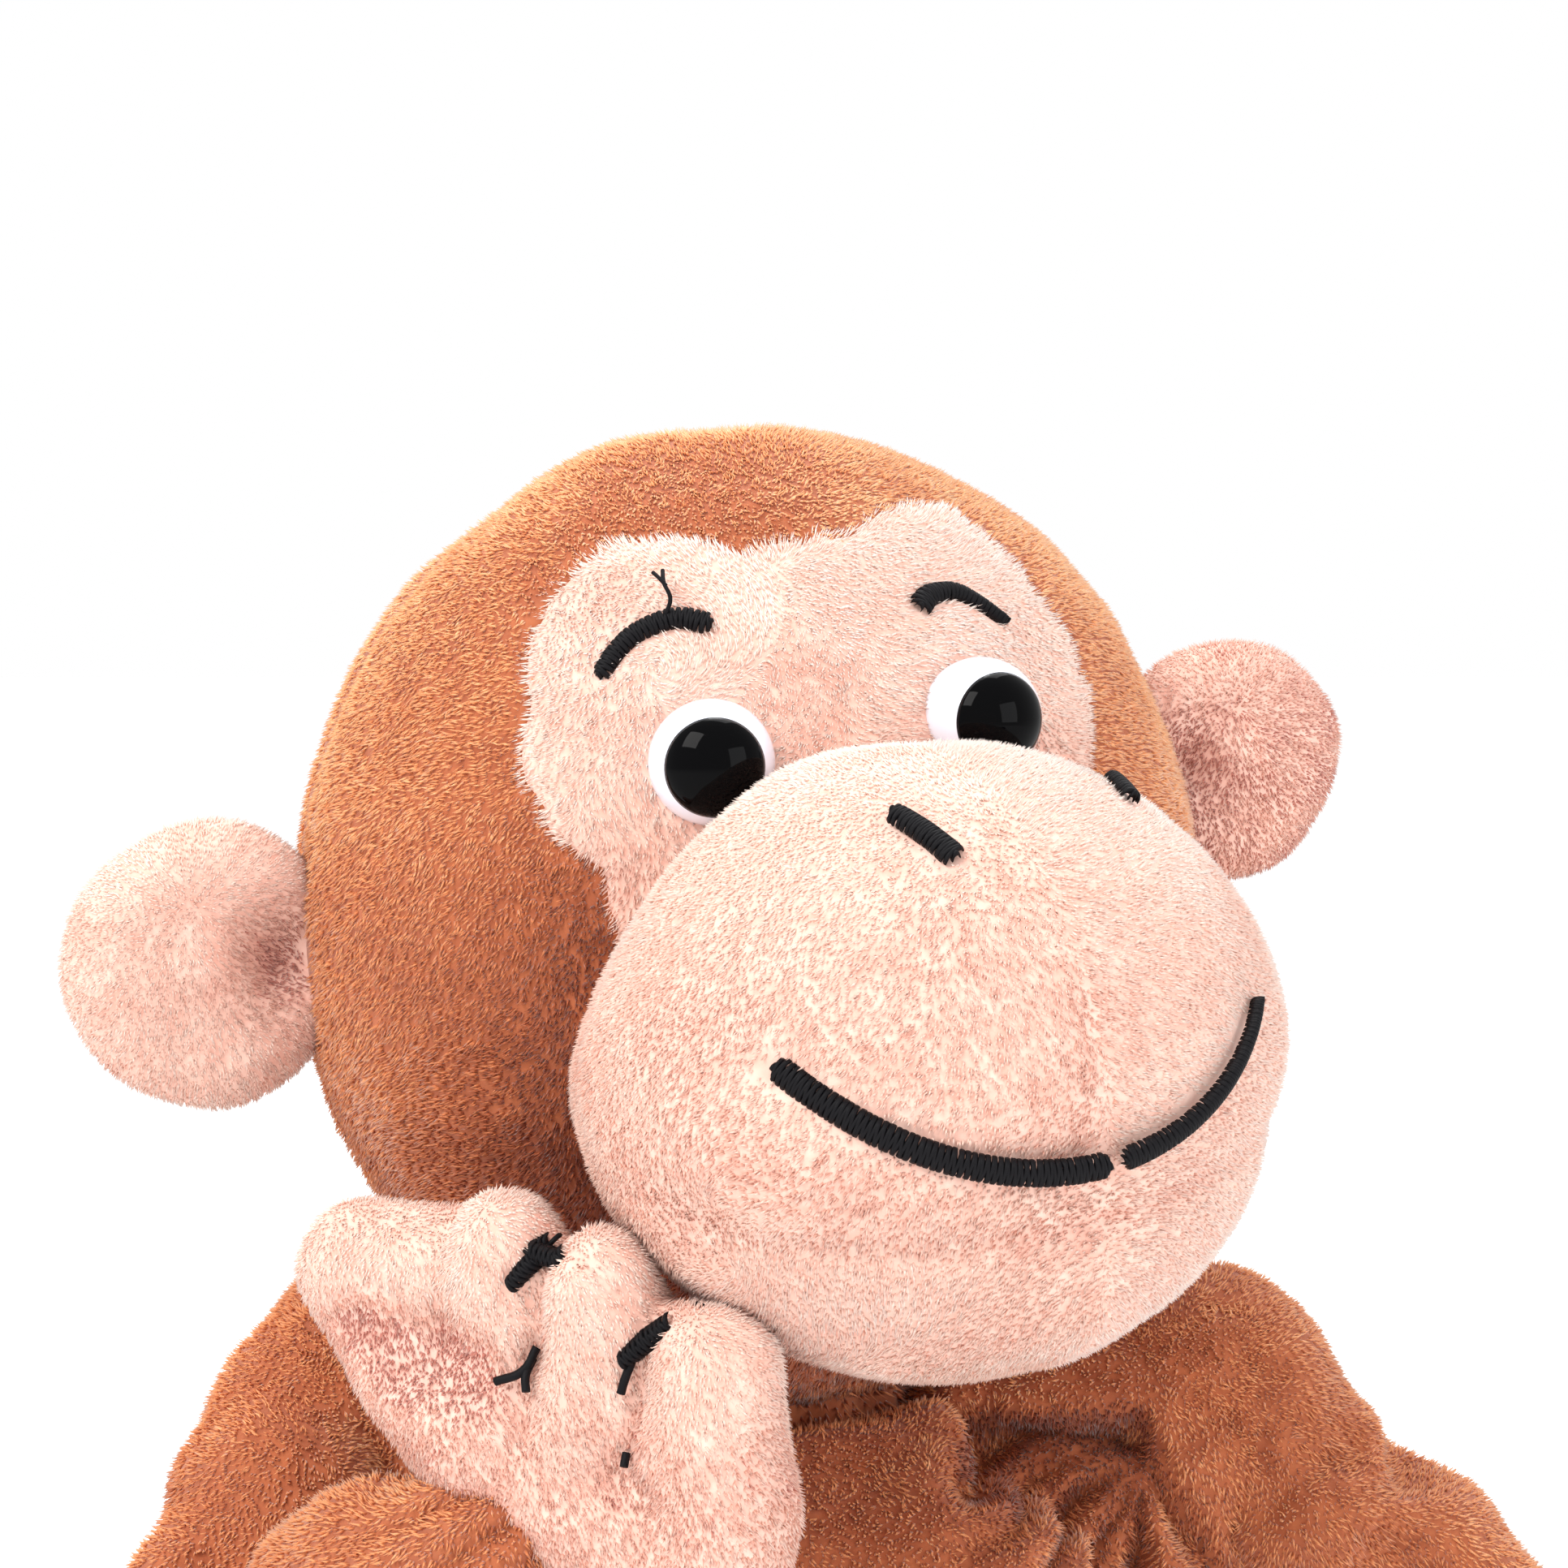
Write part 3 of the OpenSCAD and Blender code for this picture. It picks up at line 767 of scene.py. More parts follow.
def split_pile(obj: bpy.types.Object, most: int = PIECE_MOST) -> list[bpy.types.Object]:
    """Part a large pile into pieces of a handy size, by the way round it.

    Args:
        obj: The pile, whose fibres are four vertices and four triangles each, in order.
        most: Most triangles of a piece.

    Returns:
        The pile itself if it is small enough, otherwise its parts.
    """
    mesh = obj.data
    count = len(mesh.vertices) // 4
    parts = math.ceil(count * 4 / most)
    if parts < 2:
        return [obj]
    places = vertices(mesh).reshape(count, 4, 3)
    corners = np.empty(count * 12, np.int32)
    mesh.loops.foreach_get("vertex_index", corners)
    corners = corners.reshape(count, 12) - 4 * np.arange(count, dtype=np.int32)[:, None]
    shades = np.empty(count * 4, np.int32)
    mesh.polygons.foreach_get("material_index", shades)
    shades = shades.reshape(count, 4)
    roots = places.mean(axis=1) - places.mean(axis=(0, 1))
    made = []
    order = np.argsort(np.arctan2(roots[:, 0], roots[:, 1]))
    for number, chosen in enumerate(np.array_split(order, parts), 1):
        size = len(chosen)
        first = 4 * np.arange(size, dtype=np.int32)[:, None]
        part = bpy.data.meshes.new(f"{obj.name}_{number}")
        part.vertices.add(4 * size)
        part.loops.add(12 * size)
        part.polygons.add(4 * size)
        part.vertices.foreach_set("co", places[chosen].ravel())
        part.loops.foreach_set("vertex_index", (corners[chosen] + first).ravel())
        part.polygons.foreach_set("loop_start", np.arange(0, 12 * size, 3, dtype=np.int32))
        for material in mesh.materials:
            part.materials.append(material)
        part.polygons.foreach_set("material_index", shades[chosen].ravel())
        part.update(calc_edges=True)
        shade_smooth(part)
        made.append(link(bpy.data.objects.new(part.name, part)))
    bpy.data.objects.remove(obj)
    bpy.data.meshes.remove(mesh)
    return made


_TREES: dict[str, PileTree] = {}


def pile_tree(plush: Plush) -> PileTree:
    """Return the pile tree of a plush, building it at its first use."""
    if plush.name not in _TREES:
        _TREES[plush.name] = PileTree(plush.pile())
    return _TREES[plush.name]


def dress(
    cloth: bpy.types.Object, plush: Plush, cut: PileCut, seed: int,
    comb: Array, thick: Array, tone: Array,
) -> list[bpy.types.Object]:
    """Give a finished cloth its material and grow its pile.

    Args:
        cloth: Cloth, with its shape final.
        plush: Kind of plush.
        cut: How its pile is cut.
        seed: Seed of the fibres' places.
        comb: The way the pile lies at each vertex.
        thick: Share of the full density at each vertex.
        tone: Shade at each vertex, from 0 deep to 1 light; besides the cloth's own mottling it carries
            painted light and painted shade.

    Returns:
        The pile, as one or more pieces of its own.
    """
    mesh = cloth.data
    lie = comb - (comb * normals(mesh)).sum(axis=1, keepdims=True) * normals(mesh)
    set_attribute(mesh, "comb", unit(lie))
    set_attribute(mesh, "thick", np.clip(thick, 0.0, 1.0))
    set_attribute(mesh, "tone", tone)
    grown = pile_tree(plush).grow(cloth, cloth.name.replace("_cover", "") + "_pile", cut, seed)
    piles = split_pile(grown)
    for name in ("comb", "thick", "tone"):
        mesh.attributes.remove(mesh.attributes[name])
    mesh.materials.clear()
    mesh.materials.append(plush.cloth())
    return piles


# ---------------------------------------------------------------- shapes


def ball(name: str, radii: Sequence[float], fineness: int, matrix: Matrix) -> bpy.types.Object:
    """Make a closed ball stretched to three radii.

    Args:
        name: Name of the piece.
        radii: Half its width, depth and height.
        fineness: Subdivisions of the ball.
        matrix: Its place in the part's frame.

    Returns:
        The ball, with its place in its mesh.
    """
    bm = bmesh.new()
    bmesh.ops.create_icosphere(bm, subdivisions=fineness, radius=1.0)
    mesh = bpy.data.meshes.new(name)
    bm.to_mesh(mesh)
    bm.free()
    mesh.transform(matrix @ Matrix.Diagonal((*radii, 1.0)))
    shade_smooth(mesh)
    return link(bpy.data.objects.new(name, mesh))


Form = tuple[list, list]


def turned(profile: Sequence[tuple[float, float]], sides: int, matrix: Matrix, squash: float = 1.0) -> Form:
    """Turn a profile about its axis into a closed body.

    Args:
        profile: Radius and height of each ring, from the lower pole to the upper one.
        sides: Points round a ring.
        matrix: Place of the axis.
        squash: Depth as a share of the width.

    Returns:
        Its points and its faces.
    """
    points, faces = [], []
    rings = profile[1:-1]
    for radius, height in rings:
        for k in range(sides):
            a = 2 * math.pi * k / sides
            points.append(matrix @ Vector((radius * math.cos(a), radius * squash * math.sin(a), height)))
    low = len(points)
    points.append(matrix @ Vector((0.0, 0.0, profile[0][1])))
    points.append(matrix @ Vector((0.0, 0.0, profile[-1][1])))
    for j in range(len(rings) - 1):
        for k in range(sides):
            n = (k + 1) % sides
            faces.append((j * sides + k, j * sides + n, (j + 1) * sides + n, (j + 1) * sides + k))
    top = (len(rings) - 1) * sides
    for k in range(sides):
        n = (k + 1) % sides
        faces.append((low, n, k))
        faces.append((low + 1, top + k, top + n))
    return points, faces


def capsule(
    p: Vector, q: Vector, r1: float, r2: float, flat: float = 1.0, facing: Vector | None = None,
) -> Form:
    """Make a ball-ended limb between two points.

    Args:
        p: Middle of the first end.
        q: Middle of the second end.
        r1: Radius at p.
        r2: Radius at q.
        flat: Thickness along facing, as a share of the width.
        facing: Direction in which the limb is flattened.

    Returns:
        Its points and its faces.
    """
    axis = q - p
    reach = max(axis.length, 1e-6)
    lean = math.asin(max(-0.99, min(0.99, (r1 - r2) / max(reach, abs(r1 - r2) * 1.02))))
    steps = 8
    profile = [(r1 * math.cos(a), r1 * math.sin(a))
               for a in (-math.pi / 2 + (lean + math.pi / 2) * i / steps for i in range(steps + 1))]
    profile += [(r2 * math.cos(a), reach + r2 * math.sin(a))
                for a in (lean + (math.pi / 2 - lean) * i / steps for i in range(steps + 1))]
    z = axis.normalized()
    y = (facing if facing is not None else z.orthogonal()).normalized()
    x = y.cross(z).normalized()
    y = z.cross(x)
    place = Matrix((x, y, z)).transposed().to_4x4()
    place.translation = p
    return turned(profile, 28, place, flat)


def stuffed(name: str, parts: Sequence[tuple[list, list]], voxel: float, relax: int) -> bpy.types.Object:
    """Sew several closed forms into one stuffed skin.

    Args:
        name: Name of the piece.
        parts: Points and faces of each form.
        voxel: Spacing of the skin's mesh.
        relax: How many times the skin is smoothed.

    Returns:
        The skin.
    """
    points, faces = [], []
    for p, f in parts:
        start = len(points)
        points += list(p)
        faces += [tuple(k + start for k in corner) for corner in f]
    obj = mesh_object(name, np.array([tuple(p) for p in points]), faces)
    remesh = obj.modifiers.new("skin", "REMESH")
    remesh.mode = "VOXEL"
    remesh.voxel_size = voxel
    if relax:
        soften = obj.modifiers.new("soften", "SMOOTH")
        soften.factor = SKIN_SMOOTH
        soften.iterations = relax
    return bake_down(obj)


def settle(
    obj: bpy.types.Object, slack: float, pressure: float, hold: Callable[[Array], Array],
    most: float, stiffness: float = 6.0, frames: int = 20,
) -> None:
    """Let a skin fill with stuffing, so that its cloth takes up natural folds.

    Args:
        obj: The skin. Its mesh is changed.
        slack: How much larger the cloth is cut than the form, as a share.
        pressure: Push of the stuffing.
        hold: Gives how firmly each vertex is sewn down, from 0 to 1.
        most: How far a vertex may move.
        stiffness: Resistance of the cloth to folding.
        frames: Length of the simulation.
    """
    start = vertices(obj.data)
    group = obj.vertex_groups.new(name="sewn")
    for index, firm in enumerate(hold(start)):
        if firm > 0.01:
            group.add([index], float(firm), "REPLACE")
    cloth = obj.modifiers.new("filling", "CLOTH")
    cloth.settings.quality = 5
    cloth.settings.mass = 0.25
    cloth.settings.tension_stiffness = 22.0
    cloth.settings.compression_stiffness = 22.0
    cloth.settings.shear_stiffness = 8.0
    cloth.settings.bending_stiffness = stiffness
    cloth.settings.use_pressure = True
    cloth.settings.uniform_pressure_force = pressure
    cloth.settings.shrink_min = -slack
    cloth.settings.vertex_group_mass = "sewn"
    cloth.settings.effector_weights.gravity = 0.0
    cloth.collision_settings.use_collision = False
    cloth.point_cache.frame_start = 1
    cloth.point_cache.frame_end = frames
    scene = bpy.context.scene
    for number in range(1, frames + 1):
        scene.frame_set(number)
    bake_down(obj)
    scene.frame_set(1)
    obj.vertex_groups.clear()
    moved = vertices(obj.data) - start
    length = np.linalg.norm(moved, axis=1, keepdims=True)
    set_vertices(obj.data, start + moved * np.minimum(1.0, most / np.maximum(length, 1e-9)))


def subdivided(obj: bpy.types.Object) -> bpy.types.Object:
    """Round a skin off with one subdivision.

    Args:
        obj: Skin to round.

    Returns:
        The same skin.
    """
    modifier = obj.modifiers.new("round", "SUBSURF")
    modifier.levels = modifier.render_levels = 1
    return bake_down(obj)


def shift(obj: bpy.types.Object, amount: Array) -> None:
    """Move a skin's vertices along their normals."""
    set_vertices(obj.data, vertices(obj.data) + normals(obj.data) * amount[:, None])


# ---------------------------------------------------------------- embroidery


class Satin:
    """Satin stitch: threads laid side by side across a line."""

    def __init__(self, spacing: float = 0.00027, thread: float = 0.00046, rise: float = 0.00060) -> None:
        """Set how the threads lie.

        Args:
            spacing: Distance from one thread to the next.
            thread: Thickness of a thread.
            rise: How far the stitch bulges in its middle.
        """
        self.spacing = spacing
        self.thread = thread
        self.rise = rise
        self.tree = self._build()

    def _build(self) -> bpy.types.NodeTree:
        """Build the tree that lays one thread on each point of a line.

        Returns:
            The tree.
        """
        tree = bpy.data.node_groups.new("satin_tree", "GeometryNodeTree")
        face = tree.interface
        face.new_socket("Geometry", in_out="INPUT", socket_type="NodeSocketGeometry")
        self.thread_id = face.new_socket("Thread", in_out="INPUT", socket_type="NodeSocketObject").identifier
        self.seed_id = face.new_socket("Seed", in_out="INPUT", socket_type="NodeSocketInt").identifier
        face.new_socket("Geometry", in_out="OUTPUT", socket_type="NodeSocketGeometry")
        nodes, links = tree.nodes, tree.links
        source, sink = nodes.new("NodeGroupInput"), nodes.new("NodeGroupOutput")
        info = nodes.new("GeometryNodeObjectInfo")
        links.new(source.outputs["Thread"], info.inputs["Object"])
        plant = nodes.new("GeometryNodeInstanceOnPoints")
        links.new(source.outputs["Geometry"], plant.inputs["Points"])
        links.new(info.outputs["Geometry"], plant.inputs["Instance"])
        for name, socket in (("turn", "Rotation"), ("size", "Scale")):
            read = nodes.new("GeometryNodeInputNamedAttribute")
            read.data_type = "FLOAT_VECTOR"
            read.inputs["Name"].default_value = name
            links.new(read.outputs["Attribute"], plant.inputs[socket])
        stray = nodes.new("FunctionNodeRandomValue")
        stray.data_type = "FLOAT_VECTOR"
        wide = [s for s in stray.inputs if s.enabled]
        wide[0].default_value = (-0.02, -0.06, -0.10)
        wide[1].default_value = (0.02, 0.06, 0.10)
        links.new(source.outputs["Seed"], stray.inputs["Seed"])
        turn = nodes.new("GeometryNodeRotateInstances")
        links.new(plant.outputs["Instances"], turn.inputs["Instances"])
        links.new(next(s for s in stray.outputs if s.enabled), turn.inputs["Rotation"])
        real = nodes.new("GeometryNodeRealizeInstances")
        links.new(turn.outputs["Instances"], real.inputs["Geometry"])
        paint_node = nodes.new("GeometryNodeSetMaterial")
        paint_node.inputs["Material"].default_value = THREAD.material()
        links.new(real.outputs["Geometry"], paint_node.inputs["Geometry"])
        links.new(paint_node.outputs["Geometry"], sink.inputs["Geometry"])
        return tree

    def _thread(self) -> bpy.types.Object:
        """Make one thread: a closed arch of unit width across x, bulging to z.

        Returns:
            The thread, which is never linked into the scene.
        """
        old = bpy.data.objects.get("thread_shape")
        if old:
            return old
        along, around = 9, 6
        points, faces = [], []
        for i in range(along):
            t = -1.0 + 2.0 * i / (along - 1)
            middle = Vector((0.5 * t, 0.0, math.sqrt(max(0.0, 1.0 - t * t))))
            for k in range(around):
                a = 2 * math.pi * k / around
                points.append(middle + Vector((0.0, 0.5 * math.cos(a), 0.5 * math.sin(a))))
        for i in range(along - 1):
            for k in range(around):
                n = (k + 1) % around
                faces.append((i * around + k, (i + 1) * around + k, (i + 1) * around + n, i * around + n))
        faces.append(tuple(range(around)))
        faces.append(tuple(reversed(range((along - 1) * around, along * around))))
        obj = bpy.data.objects.new("thread_shape", bpy.data.meshes.new("thread_shape"))
        obj.data.from_pydata([tuple(p) for p in points], [], faces)
        close_and_orient(obj.data)
        shade_smooth(obj.data)
        return obj

    def sew(
        self, name: str, line: Array, normal: Array, width: Callable[[Array], Array], seed: int,
        slant: float = 0.14,
    ) -> bpy.types.Object:
        """Sew satin stitch along a line.

        Args:
            name: Name of the piece.
            line: Points of the line, close together, on the cloth.
            normal: The cloth's outward direction at each point.
            width: Gives the stitch's width from how far along the line it is, 0 to 1.
            seed: Seed of the threads' small turns.
            slant: How far every other thread slants.

        Returns:
            The stitches, as one piece.
        """
        steps = np.linalg.norm(np.diff(line, axis=0), axis=1)
        run = np.concatenate([[0.0], np.cumsum(steps)])
        count = max(3, int(run[-1] / self.spacing) + 1)
        at = np.linspace(0.0, run[-1], count)
        place = np.stack([np.interp(at, run, line[:, k]) for k in range(3)], axis=1)
        up = unit(np.stack([np.interp(at, run, normal[:, k]) for k in range(3)], axis=1))
        along = unit(np.gradient(place, axis=0))
        wide = width(at / run[-1])
        turns, sizes = [], []
        for k in range(count):
            z = Vector(up[k])
            lean = slant if k % 2 else -slant
            x = Vector(along[k]).cross(z).normalized()
            x = (x + Vector(along[k]) * lean).normalized()
            y = z.cross(x).normalized()
            x = y.cross(z)
            turns.append(tuple(Matrix((x, y, z)).transposed().to_euler()))
            sizes.append((wide[k], self.thread, self.rise))
        mesh = bpy.data.meshes.new(name)
        mesh.from_pydata([tuple(p) for p in place], [], [])
        set_attribute(mesh, "turn", np.array(turns))
        set_attribute(mesh, "size", np.array(sizes))
        obj = link(bpy.data.objects.new(name, mesh))
        modifier = obj.modifiers.new("satin", "NODES")
        modifier.node_group = self.tree
        modifier[self.thread_id] = self._thread()
        modifier[self.seed_id] = seed
        bake_down(obj)
        for layer in ("turn", "size"):
            if layer in obj.data.attributes:
                obj.data.attributes.remove(obj.data.attributes[layer])
        return obj


def loose_thread(name: str, line: Sequence[Sequence[float]], thickness: float) -> bpy.types.Object:
    """Make one free thread along a few points.

    Args:
        name: Name of the piece.
        line: Points that the thread follows.
        thickness: Thickness of the thread.

    Returns:
        The thread.
    """
    curve = bpy.data.curves.new(name, "CURVE")
    curve.dimensions = "3D"
    curve.bevel_depth = thickness / 2
    curve.bevel_resolution = 2
    curve.use_fill_caps = True
    spline = curve.splines.new("BEZIER")
    spline.bezier_points.add(len(line) - 1)
    for point, place in zip(spline.bezier_points, line):
        point.co = place
        point.handle_left_type = point.handle_right_type = "AUTO"
    bow = link(bpy.data.objects.new(name + "_curve", curve))
    bpy.context.view_layer.update()
    depsgraph = bpy.context.evaluated_depsgraph_get()
    mesh = bpy.data.meshes.new_from_object(bow.evaluated_get(depsgraph), depsgraph=depsgraph)
    bpy.data.objects.remove(bow)
    mesh.name = name
    mesh.materials.clear()
    mesh.materials.append(THREAD.material())
    close_and_orient(mesh)
    shade_smooth(mesh)
    obj = link(bpy.data.objects.new(name, mesh))
    return obj


def landed(
    cover: bpy.types.Object, points: Iterable[Sequence[float]], way: Vector, rise: Sequence[float],
) -> Array:
    """Drop points on a cover, so that what is sewn there lies on its cloth.

    Args:
        cover: The cover.
        points: Points near its surface.
        way: Direction in which they drop.
        rise: Height of each point above the cloth.

    Returns:
        The points on the cloth, raised by their heights.
    """
    mesh = cover.data
    tree = BVHTree.FromPolygons([v.co for v in mesh.vertices], [tuple(f.vertices) for f in mesh.polygons])
    out = []
    for point, up in zip(points, rise):
        start = Vector(point) - way * 0.03
        hit = tree.ray_cast(start, way, 0.06)[0]
        if hit is None:
            hit = tree.find_nearest(Vector(point))[0]
        out.append(hit - way * up)
    return np.array([tuple(v) for v in out])


def mm(*values: float) -> Vector:
    """Make a vector from millimetres."""
    return Vector(values) * MM


def dense(points: Sequence[Sequence[float]], count: int) -> Array:
    """Run a smooth curve through a few points.

    Args:
        points: Points that the curve passes.
        count: Points of the result for each stretch.

    Returns:
        Points along the curve.
    """
    p = np.asarray(points, float)
    p = np.vstack([2 * p[0] - p[1], p, 2 * p[-1] - p[-2]])
    out = []
    for i in range(1, len(p) - 2):
        for t in np.linspace(0, 1, count, endpoint=i == len(p) - 3):
            out.append(0.5 * (
                2 * p[i] + (p[i + 1] - p[i - 1]) * t
                + (2 * p[i - 1] - 5 * p[i] + 4 * p[i + 1] - p[i + 2]) * t * t
                + (3 * p[i] - p[i - 1] - 3 * p[i + 1] + p[i + 2]) * t ** 3
            ))
    return np.array(out)


class Side(Enum):
    """The monkey's own right or left, as the sign of x."""

    RIGHT = -1
    LEFT = 1

    @property
    def label(self) -> str:
        """Name of the side as piece names have it."""
        return self.name.lower()


HEAD_PLACE = (
    Matrix.Translation(mm(0, 0, 158)) @ Matrix.Rotation(math.radians(-7.5), 4, "Y")
    @ Matrix.Rotation(math.radians(20), 4, "Z")
)


def apply(matrix: Matrix, p: Array) -> Array:
    """Move rows of points by a matrix."""
    m = np.array(matrix)
    return p @ m[:3, :3].T + m[:3, 3]


def aim(matrix: Matrix, v: Array) -> Array:
    """Turn rows of directions by a matrix."""
    return v @ np.array(matrix)[:3, :3].T


# ---------------------------------------------------------------- head


@dataclass
class Head:
    """The head: brown cap, peach face mask and muzzle, ears, eyes and embroidery."""

    skull: tuple[float, float, float] = (0.052, 0.0405, 0.055)
    muzzle: tuple[float, float, float] = (0.032, 0.0325, 0.0305)
    muzzle_at: tuple[float, float, float] = (0.0, -0.0475, -0.008)
    pile: float = 0.0017
    eye: float = 0.006
    eye_at: tuple[float, float, float] = (0.014, -0.035, 0.021)
    pupil: float = 0.0047
    ear: float = 0.0152
    ear_at: tuple[float, float, float] = (0.0615, -0.002, 0.006)
    satin: Satin = field(default_factory=Satin)

    MASK_BALLS = (((14, 28), 15), ((-14, 28), 15), ((16, 23), 14.5), ((-16, 23), 14.5))
    MASK_BOXES = (((0, 14.5), (14, 26.5)), ((0, 5), (26, 17)))
    MIDDLE_SEAM = (
        (4.2, -50, 23), (4.0, -60, 20.4), (3.6, -68.9, 14.9), (3.1, -74.3, 9.3),
        (1.9, -77.9, 3.2), (0.4, -79.6, -4), (-1.2, -79.9, -11.6), (-2, -78.4, -18),
    )
    CHIN_SEAM = (
        (-33, -40, -11), (-31, -56, -13.5), (-24.6, -66.3, -15.8), (-16.8, -73.1, -17.7),
        (-4.5, -77.6, -18.7), (6.9, -77.3, -18.3), (14.9, -74.2, -18), (23, -68, -16.5),
        (30, -57, -14), (33, -40, -11),
    )
    RIGHT_BROW = ((-21.8, 30.2), (-19.6, 32.4), (-17.2, 33.9), (-13.6, 34.7), (-10.6, 33.7))
    LEFT_BROW = ((10.8, 32.4), (12.6, 33.4), (15.5, 33.4), (18.0, 31.9), (20.6, 29.6))
    SMILE_RADIUS, SMILE_RISE = 28.5, 16.3
    SMILE_ARCS = {Side.RIGHT: (-52.0, 1.6), Side.LEFT: (4.6, 46.0)}
    NOSTRILS = {Side.RIGHT: ((-7.4, -62.7), (-4.9, -68.9)), Side.LEFT: ((17.6, -54.5), (16.4, -60.0))}
    GAZE = {Side.RIGHT: 14.0, Side.LEFT: -4.0}
    SUNK = 0.0010

    def mask_edge(self, x: Array, z: Array) -> Array:
        """Measure how far points lie outside the face mask's outline, in metres.

        Args:
            x: Distance to the head's left.
            z: Height above the head's middle.

        Returns:
            The distance, below 0 inside the mask.
        """
        best = np.full(np.shape(x), np.inf)
        for (cx, cz), r in self.MASK_BALLS:
            best = np.minimum(best, np.hypot(x - cx * MM, z - cz * MM) - r * MM)
        for (cx, cz), (hx, hz) in self.MASK_BOXES:
            dx, dz = np.abs(x - cx * MM) - hx * MM, np.abs(z - cz * MM) - hz * MM
            outside = np.hypot(np.maximum(dx, 0), np.maximum(dz, 0))
            best = np.minimum(best, outside + np.minimum(np.maximum(dx, dz), 0))
        return best

    def on_skull(self, x: Array, z: Array, rise: float) -> Array:
        """Find points on the front of the skull at given x and z.

        Args:
            x: Distance to the head's left.
            z: Height above the head's middle.
            rise: Height above the skull's outer surface.

        Returns:
            Points in the head's own frame.
        """
        a, b, c = (r + rise for r in self.skull)
        y = -b * np.sqrt(np.maximum(1e-4, 1 - (x / a) ** 2 - (z / c) ** 2))
        return np.stack([x, y, z], axis=-1)

    def skull_normal(self, p: Array) -> Array:
        """Give the skull's outward direction at points of the head's own frame."""
        return unit(p / np.array(self.skull) ** 2)

    def in_muzzle(self, p: Array) -> Array:
        """Measure how deep points lie against the muzzle: below 1 is inside it."""
        return np.linalg.norm((p - np.array(self.muzzle_at)) / np.array(self.muzzle), axis=-1)

    def on_muzzle(self, x: Array, z: Array, rise: float) -> Array:
        """Find points on the front of the muzzle at given x and z.

        Args:
            x: Places across, in metres.
            z: Heights, in metres.
            rise: How far above the surface.

        Returns:
            One point a row, in the head's own frame.
        """
        a, b, c = (r + rise for r in self.muzzle)
        mx, my, mz = self.muzzle_at
        y = my - b * np.sqrt(np.maximum(1e-4, 1 - ((x - mx) / a) ** 2 - ((z - mz) / c) ** 2))
        return np.stack([x, y, z], axis=-1)

    def muzzle_normal(self, p: Array) -> Array:
        """Give the muzzle's outward direction at points of the head's own frame."""
        return unit((p - np.array(self.muzzle_at)) / np.array(self.muzzle) ** 2)

    def eye_distance(self, p: Array) -> Array:
        """Measure how far points of the head's own frame lie from the nearer eye's middle."""
        eyes = [np.array([s.value * self.eye_at[0], *self.eye_at[1:]]) for s in Side]
        return np.minimum(*[np.linalg.norm(p - eye, axis=1) for eye in eyes])

    def local(self, obj: bpy.types.Object) -> Array:
        """Read a piece's vertices in the head's own frame."""
        return apply(HEAD_PLACE.inverted(), vertices(obj.data))

    def build(self) -> None:
        """Build and dress everything on the head."""
        self.lines()
        self.cap()
        self.mask()
        self.snout()
        for side in Side:
            self.one_ear(side)
            self.one_eye(side)
        self.embroider()

    def lines(self) -> None:
        """Lay out the embroidered lines in the head's own frame."""
        self.brows = {}
        for side, line in ((Side.RIGHT, self.RIGHT_BROW), (Side.LEFT, self.LEFT_BROW)):
            flat = dense(line, 12) * MM
            self.brows[side] = self.on_skull(flat[:, 0], flat[:, 1], -0.0009)
        self.smile = {}
        for side, ends in self.SMILE_ARCS.items():
            a = np.radians(np.linspace(*ends, 80))
            x = self.SMILE_RADIUS * MM * np.sin(a)
            z = (self.SMILE_RISE - self.SMILE_RADIUS * np.cos(a)) * MM
            self.smile[side] = self.on_muzzle(x, z, -self.SUNK)
        self.nostrils = {}
        for side, line in self.NOSTRILS.items():
            t = np.linspace(0, 1, 20)[:, None]
            flat = (np.array(line[0]) * (1 - t) + np.array(line[1]) * t) * MM
            a, b, c = (r - self.SUNK for r in self.muzzle)
            my, mz = self.muzzle_at[1:]
            z = mz + c * np.sqrt(1 - (flat[:, 0] / a) ** 2 - ((flat[:, 1] - my) / b) ** 2)
            self.nostrils[side] = np.stack([flat[:, 0], flat[:, 1], z], axis=1)

    def cap(self) -> None:
        """Build the brown cap, the whole skull under its pile."""
        inset = [r - self.pile for r in self.skull]
        obj = ball("head_cover", inset, 6, HEAD_PLACE)
        p = self.local(obj)
        shift(obj, 0.00045 * ripple(p, 0.034, 3) + 0.00012 * ripple(p, 0.011, 4)
              - 0.0006 * np.exp(-(p[:, 1] / 0.0011) ** 2))
        p = self.local(obj)
        into = self.in_muzzle(p)
        edge = self.mask_edge(p[:, 0], p[:, 2])
        front = p[:, 1] < 0
        shift(obj, -0.0022 * smooth(-edge, 0.0008, 0.003) * front)
        ears = np.minimum(*[np.linalg.norm((p - np.array([s.value * self.ear_at[0], *self.ear_at[1:]]))
                                           * [1, 2.4, 1], axis=1) for s in Side])
        thick = np.where(front, 1.0, 0.50)
        thick = np.where((front & (edge < -0.0004)) | (into < 0.97) | (ears < 0.0135), 0.0, thick)
        thick *= 1.0 - 0.55 * np.exp(-(p[:, 1] / 0.0007) ** 2)
        # Painted light and shade: the brown pile is lighter towards the top of the head and darker beside the
        # muzzle on the head's right.
        near = np.exp(-np.maximum(0, into - 1.0) / 0.42) * (p[:, 0] < 0.01)
        tone = 0.44 + 0.36 * smooth(p[:, 2], -0.025, 0.045) - 0.50 * near + 0.05 * ripple(p, 0.02, 5)
        away = p * [1.0, 0.35, 0.0] + [0.0, 0.0, -0.02]
        away = away + 0.012 * swirl(p, 0.03, 11)
        pile = dress(obj, BROWN, HEAD_CUT, SEED, aim(HEAD_PLACE, away), thick, tone)
        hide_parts("head_front_panel", "head_back_panel", "head_stuffing")
        ride_all("head", obj, *pile)

